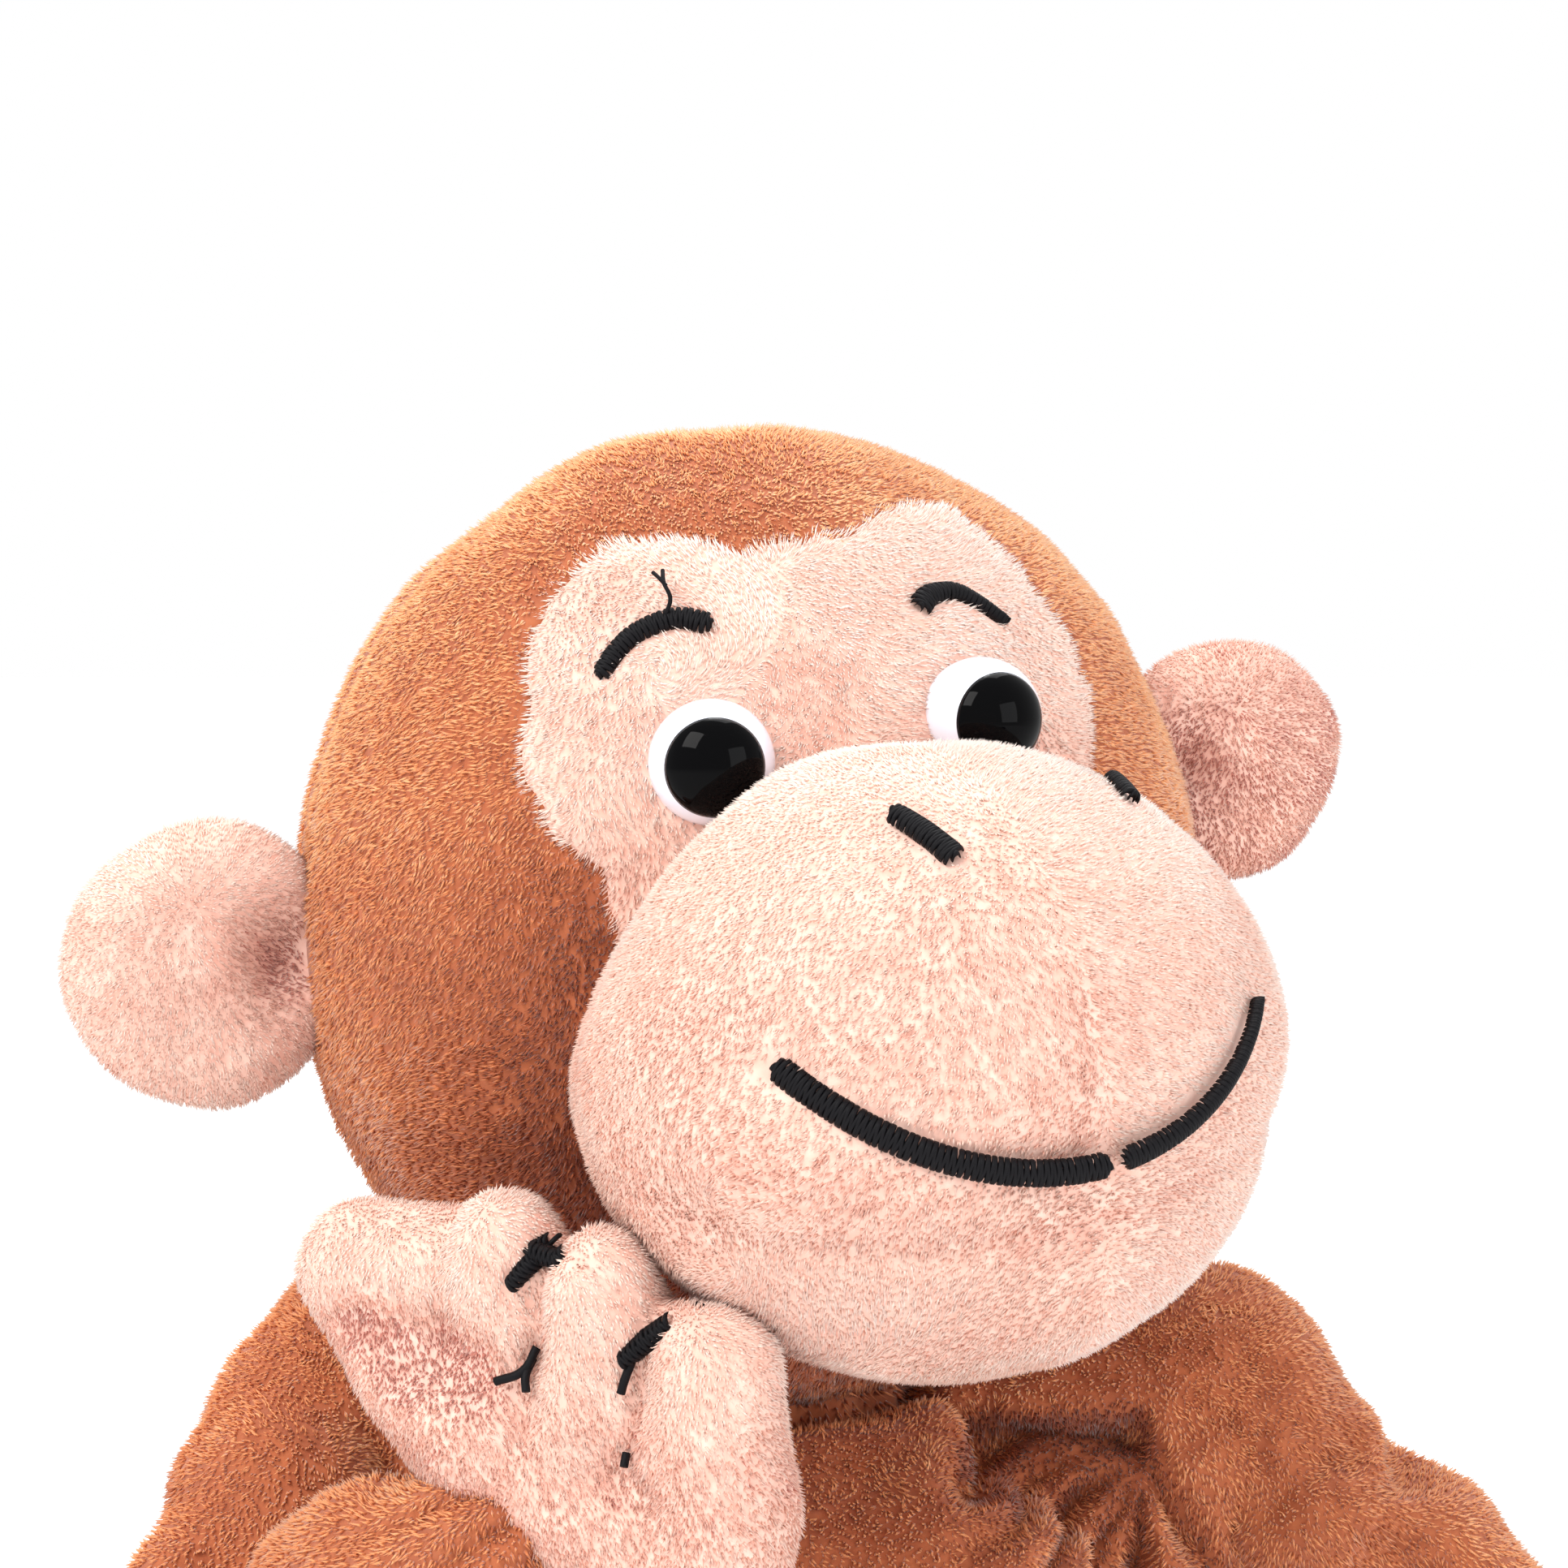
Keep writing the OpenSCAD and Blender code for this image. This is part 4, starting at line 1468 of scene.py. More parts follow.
    def mask(self) -> None:
        """Build the peach face mask as a patch sewn on the cap."""
        around, out = 150, 30
        heart = np.array([0.0, 0.020])
        theta = np.linspace(0, 2 * math.pi, around, endpoint=False)
        way = np.stack([np.cos(theta), np.sin(theta)], axis=1)
        low, high = np.zeros(around), np.full(around, 0.06)
        for _ in range(40):
            middle = (low + high) / 2
            q = heart + way * middle[:, None]
            inside = self.mask_edge(q[:, 0], q[:, 1]) < 0
            low, high = np.where(inside, middle, low), np.where(inside, high, middle)
        rough = 0.00035 * np.sin(theta * 23 + 1.3) + 0.00025 * np.sin(theta * 41)
        points = [self.on_skull(np.array([heart[0]]), np.array([heart[1]]), 0.0004 - self.pile)[0]]
        for j in range(1, out + 1):
            share = j / out
            q = heart + way * ((low + rough * share) * share)[:, None]
            roll = 0.0004 - 0.0016 * smooth(np.array(share), 0.955, 1.0)
            points.extend(self.on_skull(q[:, 0], q[:, 1], float(roll) - self.pile))
        under = len(points)
        points.append(self.on_skull(np.array([heart[0]]), np.array([heart[1]]), -0.004 - self.pile)[0])
        faces = [(0, 1 + (k + 1) % around, 1 + k) for k in range(around)]
        for j in range(out - 1):
            for k in range(around):
                n = (k + 1) % around
                a, b = 1 + j * around, 1 + (j + 1) * around
                faces.append((a + k, a + n, b + n, b + k))
        rim = 1 + (out - 1) * around
        faces += [(under, rim + k, rim + (k + 1) % around) for k in range(around)]
        obj = mesh_object("face_mask_cover", apply(HEAD_PLACE, np.array(points)), faces)
        close_and_orient(obj.data)
        p = self.local(obj)
        shift(obj, 0.00025 * ripple(p, 0.016, 21))
        p = self.local(obj)
        edge = self.mask_edge(p[:, 0], p[:, 2])
        keep = (self.in_muzzle(p) > 0.97) & (np.linalg.norm(p, axis=1) > 0.033)
        eyes = self.eye_distance(p)
        brow = nearest_line(p, self.brows.values(), 6)
        thick = np.where(keep & (eyes > self.eye + 0.0002) & (brow > 0.0013), 1.0, 0.0)
        # Painted light: the mask's pile is lighter towards its top.
        painted_top_light = smooth(p[:, 2], 0.004, 0.034)
        tone = 0.40 + 0.34 * painted_top_light + 0.05 * ripple(p, 0.012, 22)
        rim_way = np.stack([p[:, 0], np.zeros(len(p)), p[:, 2] - 0.020], axis=1)
        down = np.array([0.0, 0.0, -1.0]) * 0.6
        to_rim = unit(rim_way) * (0.4 + 1.6 * smooth(edge, -0.004, 0.0))[:, None]
        comb = down + swirl(p, 0.02, 31) * 0.5 + to_rim
        pile = dress(obj, PEACH, MASK_CUT, SEED + 1, aim(HEAD_PLACE, comb), thick, tone)
        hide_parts("face_mask")
        ride_all("head", obj, *pile)

    def snout(self) -> None:
        """Build the muzzle with its middle seam and its chin seam."""
        inset = [r - 0.0014 for r in self.muzzle]
        obj = ball("muzzle_cover", inset, 6, HEAD_PLACE @ Matrix.Translation(Vector(self.muzzle_at)))
        p = self.local(obj)
        middle = distance_to_line(p, np.array(self.MIDDLE_SEAM) * MM)
        chin = distance_to_line(p, np.array(self.CHIN_SEAM) * MM)
        smile = nearest_line(p, self.smile.values(), 8)
        shift(obj, -0.0007 * np.exp(-(middle / 0.0012) ** 2) - 0.0006 * np.exp(-(middle / 0.006) ** 2)
              - 0.0008 * np.exp(-(chin / 0.0014) ** 2) - 0.0009 * np.exp(-(chin / 0.006) ** 2)
              - 0.0007 * np.exp(-(smile / 0.0022) ** 2) + self.cheeks(p)
              + 0.00030 * ripple(p, 0.022, 41) + 0.00010 * ripple(p, 0.009, 42))
        p = self.local(obj)
        sewn = np.minimum(nearest_line(p, self.smile.values(), 8), nearest_line(p, self.nostrils.values(), 6))
        skull = np.linalg.norm(p / np.array(self.skull), axis=1)
        eyes = self.eye_distance(p)
        thick = np.where((skull > 0.97) & (eyes > self.eye + 0.0003) & (sewn > 0.00165), 1.0, 0.0)
        thick *= 1.0 - 0.35 * np.exp(-(np.minimum(middle, chin) / 0.0006) ** 2)
        # Painted light and shade: the muzzle's pile is lighter towards its top and darker along the middle
        # and chin seams, in their grooves.
        chin_tone = smooth(-p[:, 2], 0.016, 0.024)
        tone = 0.40 + 0.32 * smooth(p[:, 2], 0.0, 0.022) + 0.04 * chin_tone
        tone = tone + 0.10 * smooth(p[:, 0], 0.0, 0.02)
        tone = tone - 0.14 * np.exp(-(np.minimum(middle, chin) / 0.0016) ** 2) + 0.05 * ripple(p, 0.012, 43)
        from_middle = np.sign(p[:, 0] - 0.002)[:, None] * np.array([1.0, 0.3, 0.0])
        comb = from_middle * 0.7 + np.array([0.0, 0.0, -0.7]) + swirl(p, 0.022, 44) * 0.45
        pile = dress(obj, PEACH, MUZZLE_CUT, SEED + 2, aim(HEAD_PLACE, comb), thick, tone)
        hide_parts("muzzle_right_panel", "muzzle_left_panel", "chin_panel", "muzzle_stuffing")
        ride_all("head", obj, *pile)

    def cheeks(self, p: Array) -> Array:
        """Give how far the stuffing swells the muzzle's cheeks, the right one the more.

        Args:
            p: Points of the head's own frame.

        Returns:
            Swelling in metres, one a point.
        """
        low = np.exp(-((p[:, 2] + 0.010) / 0.013) ** 2)
        right = smooth(-p[:, 0], 0.010, 0.030)
        left = smooth(p[:, 0], 0.012, 0.030)
        return low * (0.0034 * right + 0.0010 * left)

    def one_ear(self, side: Side) -> None:
        """Build one ear: two round panels sewn at the rim and lightly stuffed.

        Args:
            side: Which ear.
        """
        x, y, z = self.ear_at
        lift, tall = (0.0, 1.05) if side is Side.RIGHT else (0.0026, 1.0)
        place = HEAD_PLACE @ Matrix.Translation(Vector((side.value * (x - 0.0018), y, z + lift)))
        r = self.ear - 0.0013
        obj = ball(f"ear_{side.label}_cover", (r, 0.0040, r), 5, place)
        q = apply(place.inverted(), vertices(obj.data))
        out = side.value * q[:, 0]
        radial = np.hypot(q[:, 0], q[:, 2])
        puff = 1.0 - 0.10 * np.exp(-((radial / r - 0.35) / 0.3) ** 2)
        q[:, 1] *= puff * (1.12 + 0.25 * smooth(radial, 0.4 * r, 0.85 * r))
        pit = np.exp(-(((out + 0.008) / 0.0055) ** 2 + ((q[:, 2] + 0.001) / 0.006) ** 2))
        q[:, 1] += np.where(q[:, 1] < 0, 0.0036, 0.0008) * pit
        q[:, 2] *= tall
        q[:, [0, 2]] *= (1.0 + 0.022 * np.sin(3 * np.arctan2(q[:, 2], q[:, 0]) + side.value))[:, None]
        set_vertices(obj.data, apply(place, q))
        shift(obj, 0.00022 * ripple(q, 0.012, 51 + side.value) - 0.0005 * np.exp(-(q[:, 1] / 0.0006) ** 2))
        inside = np.linalg.norm(self.local(obj) / np.array(self.skull), axis=1) < 0.97
        front = q[:, 1] < 0
        thick = np.where(inside, 0.0, np.where(front, 1.0, 0.7))
        # Painted light and shade: the left ear's pile is set much darker than the right's, on the side away
        # from the key light; the pit at the ear's root is darkened; and the ear is lighter towards its top.
        tone = (0.46 if side is Side.RIGHT else 0.20) - 0.42 * pit
        tone = tone + 0.14 * smooth(q[:, 2], 0.0, r) + 0.06 * ripple(q, 0.008, 53)
        comb = np.stack([out * side.value, 0 * out, q[:, 2] - 0.006], axis=1)
        pile = dress(obj, PEACH, EAR_CUT, SEED + 4 + side.value, aim(HEAD_PLACE, comb), thick, tone)
        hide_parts(f"ear_{side.label}_front", f"ear_{side.label}_back")
        ride_all("head", obj, *pile)

    def one_eye(self, side: Side) -> None:
        """Build one safety eye: a white dome and its black disc.

        Args:
            side: Which eye.
        """
        middle = Matrix.Translation(Vector((side.value * self.eye_at[0], *self.eye_at[1:])))
        dome = ball(f"eye_{side.label}_dome", (self.eye,) * 3, 5, HEAD_PLACE @ middle)
        dome.data.materials.append(EYE_WHITE.material())
        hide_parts(f"eye_{side.label}")
        look = middle @ Matrix.Rotation(math.radians(-self.GAZE[side]), 4, "Z")
        look = look @ Matrix.Rotation(math.radians(93), 4, "X")
        outer, inner = self.eye + 0.00022, self.eye - 0.0003
        reach = math.asin(self.pupil / self.eye)
        steps = 14

        def ring(radius: float, i: int) -> tuple[float, float]:
            """Give the place of one ring of the disc on a ball of a radius."""
            return radius * math.sin(reach * i / steps), radius * math.cos(reach * i / steps)
        under = [ring(inner, i) for i in range(steps)]
        over = [ring(outer - 0.0002 * (i / steps) ** 8, i) for i in range(steps, -1, -1)]
        points, faces = turned(under + over, 64, HEAD_PLACE @ look)
        disc = mesh_object(f"pupil_{side.label}_disc", np.array([tuple(v) for v in points]), faces)
        close_and_orient(disc.data)
        disc.data.materials.append(EYE_BLACK.material())
        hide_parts(f"pupil_{side.label}")
        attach(dome, "head")
        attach(disc, "head")
        LOG.info("eye %s: dome and disc", side.label)

    def embroider(self) -> None:
        """Sew the brows, the nostrils and the smile."""
        def taper(first: float, last: float, blunt: float = 0.04) -> Callable[[Array], Array]:
            """Give a width that changes along the line and rounds off at its ends."""
            def width(t: Array) -> Array:
                """Give the width at a share of the line."""
                ends = np.sqrt(np.clip(np.minimum(t, 1 - t) / blunt, 0.12, 1.0))
                return (first + (last - first) * t) * ends
            return width
        jobs = [
            ("brow_right", self.brows[Side.RIGHT], self.skull_normal, taper(0.0019, 0.0023)),
            ("brow_left", self.brows[Side.LEFT], self.skull_normal, taper(0.0026, 0.0010)),
            ("nostril_right", self.nostrils[Side.RIGHT], self.muzzle_normal, taper(0.0021, 0.0023)),
            ("nostril_left", self.nostrils[Side.LEFT], self.muzzle_normal, taper(0.0019, 0.0017)),
            ("mouth_line_right", self.smile[Side.RIGHT], self.muzzle_normal, taper(0.0024, 0.0022, 0.015)),
            ("mouth_line_left", self.smile[Side.LEFT], self.muzzle_normal, taper(0.0020, 0.0009, 0.02)),
        ]
        for seed, (name, line, normal, width) in enumerate(jobs, SEED):
            place, up = apply(HEAD_PLACE, line), aim(HEAD_PLACE, normal(line))
            piece = self.satin.sew(f"{name}_satin", place, up, width, seed)
            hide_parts(name)
            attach(piece, "head")
        tail = ((-14.6, 35.2, -0.2), (-14.1, 36.6, 0.9), (-14.3, 38.2, 1.3), (-13.9, 39.4, 1.0))
        fork = ((-14.2, 37.9, 1.3), (-14.7, 38.8, 1.5), (-14.9, 39.3, 1.2))
        for name, line in (("brow_right_tail", tail), ("brow_right_tail_fork", fork)):
            flat = np.array(line) * MM
            place = [self.on_skull(np.array([x]), np.array([z]), float(rise))[0] for x, z, rise in flat]
            piece = loose_thread(name, [tuple(v) for v in apply(HEAD_PLACE, np.array(place))], 0.00042)
            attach(piece, "head")
        LOG.info("embroidery: %d lines", len(jobs))


def ride_all(body: str, *pieces: bpy.types.Object) -> None:
    """Let pieces ride on a body, and report them."""
    for piece in pieces:
        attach(piece, body)
        LOG.info("%s: %d faces on %s", piece.name, len(piece.data.polygons), body)


# ---------------------------------------------------------------- body and limbs


@dataclass
class Torso:
    """The torso: a loose brown cover over stuffing, on a flat seat."""

    width: float = 0.047
    depth: float = 0.040
    height: float = 0.100
    belly: float = 0.038
    seat_depth: float = 0.052
    bulge: float = 2.8
    inset: float = 0.0016

    PLEATS = (
        (-1, (41, 104), (20, 98)), (-1, (41, 104), (26, 92)), (-1, (41, 104), (33, 86)),
        (-1, (41, 104), (40, 83)), (-1, (41, 104), (50, 88)), (-1, (-33, 103), (-18, 93)),
        (-1, (-33, 103), (-26, 86)), (-1, (-33, 103), (-36, 84)), (1, (4, 104), (12, 84)),
        (1, (-6, 104), (-18, 84)), (1, (36, 104), (28, 84)), (1, (-36, 104), (-28, 84)),
    )
    POCKET = ((22, 103.2), (31, 104.6), (40, 105.4))

    def radius(self, z: float) -> float:
        """Give the cover's radius at a height.

        Args:
            z: Height in metres.

        Returns:
            The radius in metres.
        """
        w, top = self.width - self.inset, self.height - self.inset
        if z < self.belly:
            return w * math.sqrt(1 - ((self.belly - z) / self.seat_depth) ** 2)
        return w * max(0.0, 1 - ((z - self.belly) / (top - self.belly)) ** self.bulge) ** (1 / self.bulge)

    def build(self) -> None:
        """Build and dress the torso's cover and the neck under the head."""
        rings, low = 30, 0.0014
        rise = self.height - self.inset - low
        heights = [low + rise * (1 - (1 - i / rings) ** 1.6) for i in range(rings + 1)]
        profile = [(0.0, 0.0012), (self.radius(low) - 0.0012, 0.0012)]
        profile += [(self.radius(z), z) for z in heights[1:-1]] + [(0.0, heights[-1])]
        parts = [turned(profile, 72, Matrix.Identity(4), self.depth / self.width)]
        parts.append(capsule(mm(-44, -2, 101), mm(-16, -5, 80), 0.0148, 0.022))
        parts.append(capsule(mm(48, -1, 101), mm(18, -5, 80), 0.0148, 0.022))
        parts.append(capsule(mm(-12, -17, 86), mm(20, -17, 86), 0.0185, 0.0185))
        obj = stuffed("torso_cover", parts, 0.0026, 10)
        settle(obj, 0.07, 0.9, self.sewn, 0.0045, 2.5)
        subdivided(obj)
        self.fold(obj)
        p = vertices(obj.data)
        above_floor(obj)
        front = smooth(-p[:, 1], -0.012, 0.004)
        high = smooth(p[:, 2], 0.045, 0.075)
        thick = 0.20 + 0.08 * front + 0.62 * front * high
        thick = np.where(p[:, 2] < 0.0022, 0.0, thick)
        # Painted light and shade: the torso's pile is lighter higher up and darkened in the pleats and in the
        # deep fold under the chin.
        tone = 0.42 + 0.14 * smooth(p[:, 2], 0.03, 0.10) - 0.45 * self.creases(p) - 0.90 * self.pocket(p)
        tone = tone + 0.07 * ripple(p, 0.02, 61)
        comb = np.array([0.0, 0.0, -1.0]) + swirl(p, 0.035, 62) * 0.4
        pile = dress(obj, BROWN, TORSO_CUT, SEED + 10, comb, thick, tone)
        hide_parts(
            "torso_front_panel", "torso_back_panel", "seat_panel", "torso_stuffing", "pellet_bag")
        ride_all("torso", obj, *pile)
        self.neck()

    def sewn(self, p: Array) -> Array:
        """Say how firmly the cover is held: at the seat, the side seams and the neck.

        Args:
            p: Points on the cover.

        Returns:
            Hold from 0 to 1, one a point.
        """
        side = np.exp(-(p[:, 1] / 0.002) ** 2) * 0.7
        seat = 1.0 - smooth(p[:, 2], 0.002, 0.007)
        neck = np.exp(-(np.hypot(p[:, 0], p[:, 1]) / 0.012) ** 2) * smooth(p[:, 2], 0.09, 0.1)
        return np.clip(np.maximum(np.maximum(side, seat), neck), 0.0, 1.0)

    def creases(self, p: Array) -> Array:
        """Give the depth of the pleats that gather at the armpits, from 0 to 1.

        Args:
            p: Points on the cover.

        Returns:
            One depth a point.
        """
        deep = np.zeros(len(p))
        flat = p[:, [0, 2]] / MM
        for way, start, end in self.PLEATS:
            away = np.linalg.norm(flat - np.array(start), axis=1)
            pleat = np.exp(-(distance_to_line(flat, (start, end)) / 1.5) ** 2)
            pleat = pleat * smooth(way * p[:, 1], 0.004, 0.010)
            deep = np.maximum(deep, pleat * (1.0 - smooth(away, 12.0, 24.0)))
        return deep

    def pocket(self, p: Array) -> Array:
        """Give the depth of the deep fold under the chin, from 0 to 1."""
        flat = distance_to_line(p[:, [0, 2]] / MM, self.POCKET)
        return np.exp(-(flat / 1.7) ** 2) * smooth(-p[:, 1], 0.004, 0.010)

    def fold(self, obj: bpy.types.Object) -> None:
        """Press the pleats and a few soft rolls into the cover.

        Args:
            obj: The torso's cover.
        """
        p = vertices(obj.data)
        away = smooth(p[:, 2], 0.006, 0.02)
        rolls = 0.0009 * ripple(p * [1.0, 1.0, 1.7], 0.034, 71) + 0.0004 * ripple(p, 0.015, 72)
        seam = np.exp(-(p[:, 1] / 0.0012) ** 2) * smooth(0.09 - p[:, 2], 0.0, 0.02)
        shift(obj, (rolls - 0.0036 * self.creases(p) - 0.0060 * self.pocket(p) - 0.0008 * seam) * away)

    def neck(self) -> None:
        """Build the short neck that shows between the torso and the head."""
        obj = stuffed("neck_cover", [capsule(mm(0, 2, 92), mm(0, 2, 103), 0.0195, 0.0175)], 0.0020, 4)
        p = vertices(obj.data)
        angle = np.arctan2(p[:, 1], p[:, 0])
        shift(obj, 0.0007 * np.cos(13 * angle))
        comb = np.tile(np.array([0.0, 0.0, -1.0]), (len(p), 1))
        # Painted shade: the neck's pile is set darker than the torso's, where it sits under the head.
        tone = 0.30 + 0.05 * ripple(p, 0.01, 75)
        pile = dress(obj, BROWN, NECK_CUT, SEED + 11, comb, 1.0 + 0 * angle, tone)
        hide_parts("neck_stuffing")
        ride_all("neck", obj, *pile)


@dataclass
class Arm:
    """One arm: a brown sleeve bent at the elbow, and a peach hand."""

    side: Side
    shoulder: Vector
    elbow: Vector
    wrist: Vector
    hand_place: Matrix
    shoulder_r: float = 0.016
    elbow_r: float = 0.013
    wrist_r: float = 0.011
    inset: float = 0.0015
    cuff_reach: float = -0.006

    FINGERS = (
        (((-6, 6, 0, 7.0), (-13, 12, 0, 7.0), (-18.4, 18.6, 0, 6.6)), 0.80),
        (((-3, 9, 0, 6.0), (-3, 23.6, 1.0, 5.3)), 0.95),
        (((5, 8, 0, 6.0), (6.8, 21.4, 1.2, 5.3)), 0.95),
        (((16.5, -9, 0, 6.2), (19, 2, 0.8, 6.1), (18.4, 15.6, 2.0, 5.6)), 1.0),
        (((-18.8, 20.4, 0, 5.6), (-8.6, 20.4, 0, 5.8)), 0.74),
        (((-3, 18, 0.4, 5.4), (6, 17, 0.4, 5.4)), 0.86),
        (((7, 13, 0.4, 5.4), (17, 8, 0.6, 5.6)), 0.90),
        (((-2.5, 22, 0.4, 4.9), (6.6, 20.4, 0.5, 4.9)), 0.90),
        (((7.5, 19, 0.4, 5.0), (17, 14, 0.7, 5.2)), 0.90),
        (((-8, 7, 0, 7.4), (14, -3, 0, 8.4)), 0.66),
    )

    CLEFTS = (((1.9, 15.5), (3.6, 30.0)), ((11.6, 9.0), (13.6, 24.0)))
    HOLLOW = ((-16.5, 15.0), (-10.9, 13.0), (-4.5, 13.8))
    TIP_SEAM = (
        (3.0, 26.5, 4.2), (7.5, 24.6, 4.9), (12.0, 21.0, 4.2),
        (15.6, 18.0, 6.2), (19.5, 15.0, 7.2), (23.4, 7.0, 4.5),
    )
    STITCHES = (((0.4, 22.0, 4.9), (3.2, 26.0, 4.0)), ((11.2, 16.6, 5.4), (14.8, 20.0, 4.8)))
    TAILS = (
        ((1.9, 16.0), (1.2, 14.2), (-1.3, 13.0)), ((1.6, 15.0), (1.5, 13.8), (1.9, 12.6)),
        ((11.8, 16.4), (11.4, 14.8), (11.2, 13.8)), ((11.2, 8.2), (11.3, 7.2)), ((16.0, 21.0), (17.0, 22.4)),
    )
    TAIL_RISE = (0.0005, 0.0012, 0.0014)

    def build(self) -> None:
        """Build and dress the sleeve and the hand."""
        self.sleeve()
        self.hand()

    def sleeve(self) -> None:
        """Build the sleeve from the shoulder to the wrist, which bends at the elbow."""
        s, e, w, i = self.shoulder, self.elbow, self.wrist, self.inset
        cuff = w + (w - e).normalized() * self.cuff_reach
        parts = [capsule(s, e, self.shoulder_r - i, self.elbow_r + 0.001 - i),
                 capsule(e, cuff, self.elbow_r - i + 0.0006, self.wrist_r - i)]
        obj = stuffed(f"sleeve_{self.side.label}_cover", parts, 0.0022, 8)
        ends = [np.array(v) for v in (s, w)]

        def hold(p: Array) -> Array:
            """Hold the sleeve at its seams with the torso and the hand."""
            near = np.minimum(*[np.linalg.norm(p - v, axis=1) for v in ends])
            return 1.0 - smooth(near, 0.012, 0.02)
        settle(obj, 0.08, 0.8, hold, 0.003, 2.0)
        subdivided(obj)
        p = vertices(obj.data)
        upper = np.array(e - s)
        lower = np.array(w - e)
        along = np.clip(((p - np.array(e)) @ lower) / float(lower @ lower), -1, 1.3)
        bend = np.exp(-(np.linalg.norm(p - np.array(e), axis=1) / 0.018) ** 2)
        reach = ((p - np.array(s)) @ upper) / float(np.linalg.norm(upper))
        rings = np.sin(reach / 0.0062 * math.pi + ripple(p, 0.03, 81) * 0.9)
        cuff_way = unit(lower[None, :])[0]
        across = p - np.array(w) - ((p - np.array(w)) @ cuff_way)[:, None] * cuff_way
        turn = np.arctan2(across @ np.cross(cuff_way, [0.3, 0.2, 0.9]), across @ np.array([0.3, 0.2, 0.9]))
        gather = np.cos(9 * turn) * smooth(along, 0.55, 0.95)
        ring_depth = 0.0009 if self.side is Side.RIGHT else 0.0006
        folds = ring_depth * rings * (0.35 + bend) - 0.0009 * (gather > 0) * gather
        shift(obj, 0.0008 * ripple(p, 0.024, 82) + folds)
        p = above_floor(obj)
        # Painted light and shade: the sleeve's pile is lighter where it faces up and darker in the hollows of
        # the rings by the elbow.
        tone = 0.42 + 0.16 * upper_side(obj) - 0.10 * (rings < -0.5) * bend
        tone = tone + 0.06 * ripple(p, 0.016, 83)
        comb = np.array([0.25 * self.side.value, -0.1, -1.0]) + swirl(p, 0.03, 84) * 0.4
        ahead = smooth(-normals(obj.data)[:, 1], -0.7, 0.2)
        pile = dress(obj, BROWN, SLEEVE_CUT, SEED + 12 + self.side.value, comb, 0.36 + 0.54 * ahead, tone)
        n = self.side.label
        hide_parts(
            f"upper_sleeve_{n}", f"upper_stuffing_{n}", f"forearm_sleeve_{n}", f"forearm_stuffing_{n}")
        to_shoulder, to_wrist = (s - e).normalized(), (w - e).normalized()
        for piece in (obj, *pile):
            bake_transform(piece, f"upper_arm_{n}", f"forearm_{n}",
                     start=tuple(e + to_shoulder * 0.009), end=tuple(e + to_wrist * 0.009))
            LOG.info("%s: %d faces across the elbow", piece.name, len(piece.data.polygons))

    def in_hand(self, x: float, y: float, z: float = 0.0) -> Vector:
        """Give a place of the hand's own frame, in millimetres, in the part's frame."""
        return self.hand_place @ mm(x, y, z)

    def hand(self) -> None:
        """Build the mitten hand with its sewn fingers."""
        facing = (self.hand_place.to_3x3() @ Vector((0, 0, 1))).normalized()
        parts = []
        for line, flat in self.FINGERS:
            for (ax, ay, az, ar), (bx, by, bz, br) in zip(line[:-1], line[1:]):
                a, b = self.in_hand(ax, ay, az), self.in_hand(bx, by, bz)
                parts.append(capsule(a, b, ar * MM, br * MM, flat, facing))
        obj = stuffed(f"hand_{self.side.label}_cover", parts, 0.0010, 6)
        q = apply(self.hand_place.inverted(), vertices(obj.data)) / MM
        palm = smooth(q[:, 2], -0.5, 1.5)
        rim = np.exp(-(distance_to_line(q, self.TIP_SEAM) / 0.6) ** 2)
        pull = np.zeros(len(q))
        for a, b in self.CLEFTS:
            pull += np.exp(-(distance_to_line(q[:, :2], (a, b)) / 1.3) ** 2)
        hollow = np.exp(-(distance_to_line(q[:, :2], self.HOLLOW) / 4.0) ** 2) * palm
        pull = np.clip(pull, 0, 1)
        shift(obj, -0.0005 * rim - 0.0012 * pull - 0.0021 * hollow + 0.00025 * ripple(q * MM, 0.010, 91))
        p = above_floor(obj)
        q = apply(self.hand_place.inverted(), p) / MM
        sewn = nearest_line(q, self.STITCHES)
        thick = np.where(sewn < 0.9, 0.0, 1.0) * (1.0 - 0.6 * rim) * np.where(p[:, 2] < BARE_BELOW, 0.0, 1.0)
        # Painted light and shade: the hand's pile is lighter towards the fingertips, which point up on the
        # right hand, and darker in the tip seam's groove, the palm's hollow and the clefts between the
        # fingers.
        tone = 0.30 + 0.28 * smooth(q[:, 1], 4, 22) - 0.26 * rim - 0.50 * hollow - 0.14 * pull
        tone = tone + 0.06 * ripple(p, 0.008, 92)
        aside, ahead = ripple(p, 0.012, 93), ripple(p, 0.012, 94)
        comb_q = np.stack([0.5 + 0.3 * aside, -0.8 + 0 * tone, 0.3 * ahead], axis=1)
        cut = RIGHT_HAND_CUT if self.side is Side.RIGHT else LEFT_HAND_CUT
        pile = dress(obj, PEACH, cut, SEED + 16 + self.side.value, aim(self.hand_place, comb_q), thick, tone)
        n = self.side.label
        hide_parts(f"hand_back_{n}", f"hand_palm_{n}", f"hand_stuffing_{n}")
        ride_all(f"forearm_{n}", obj, *pile)
        self.stitches(obj)

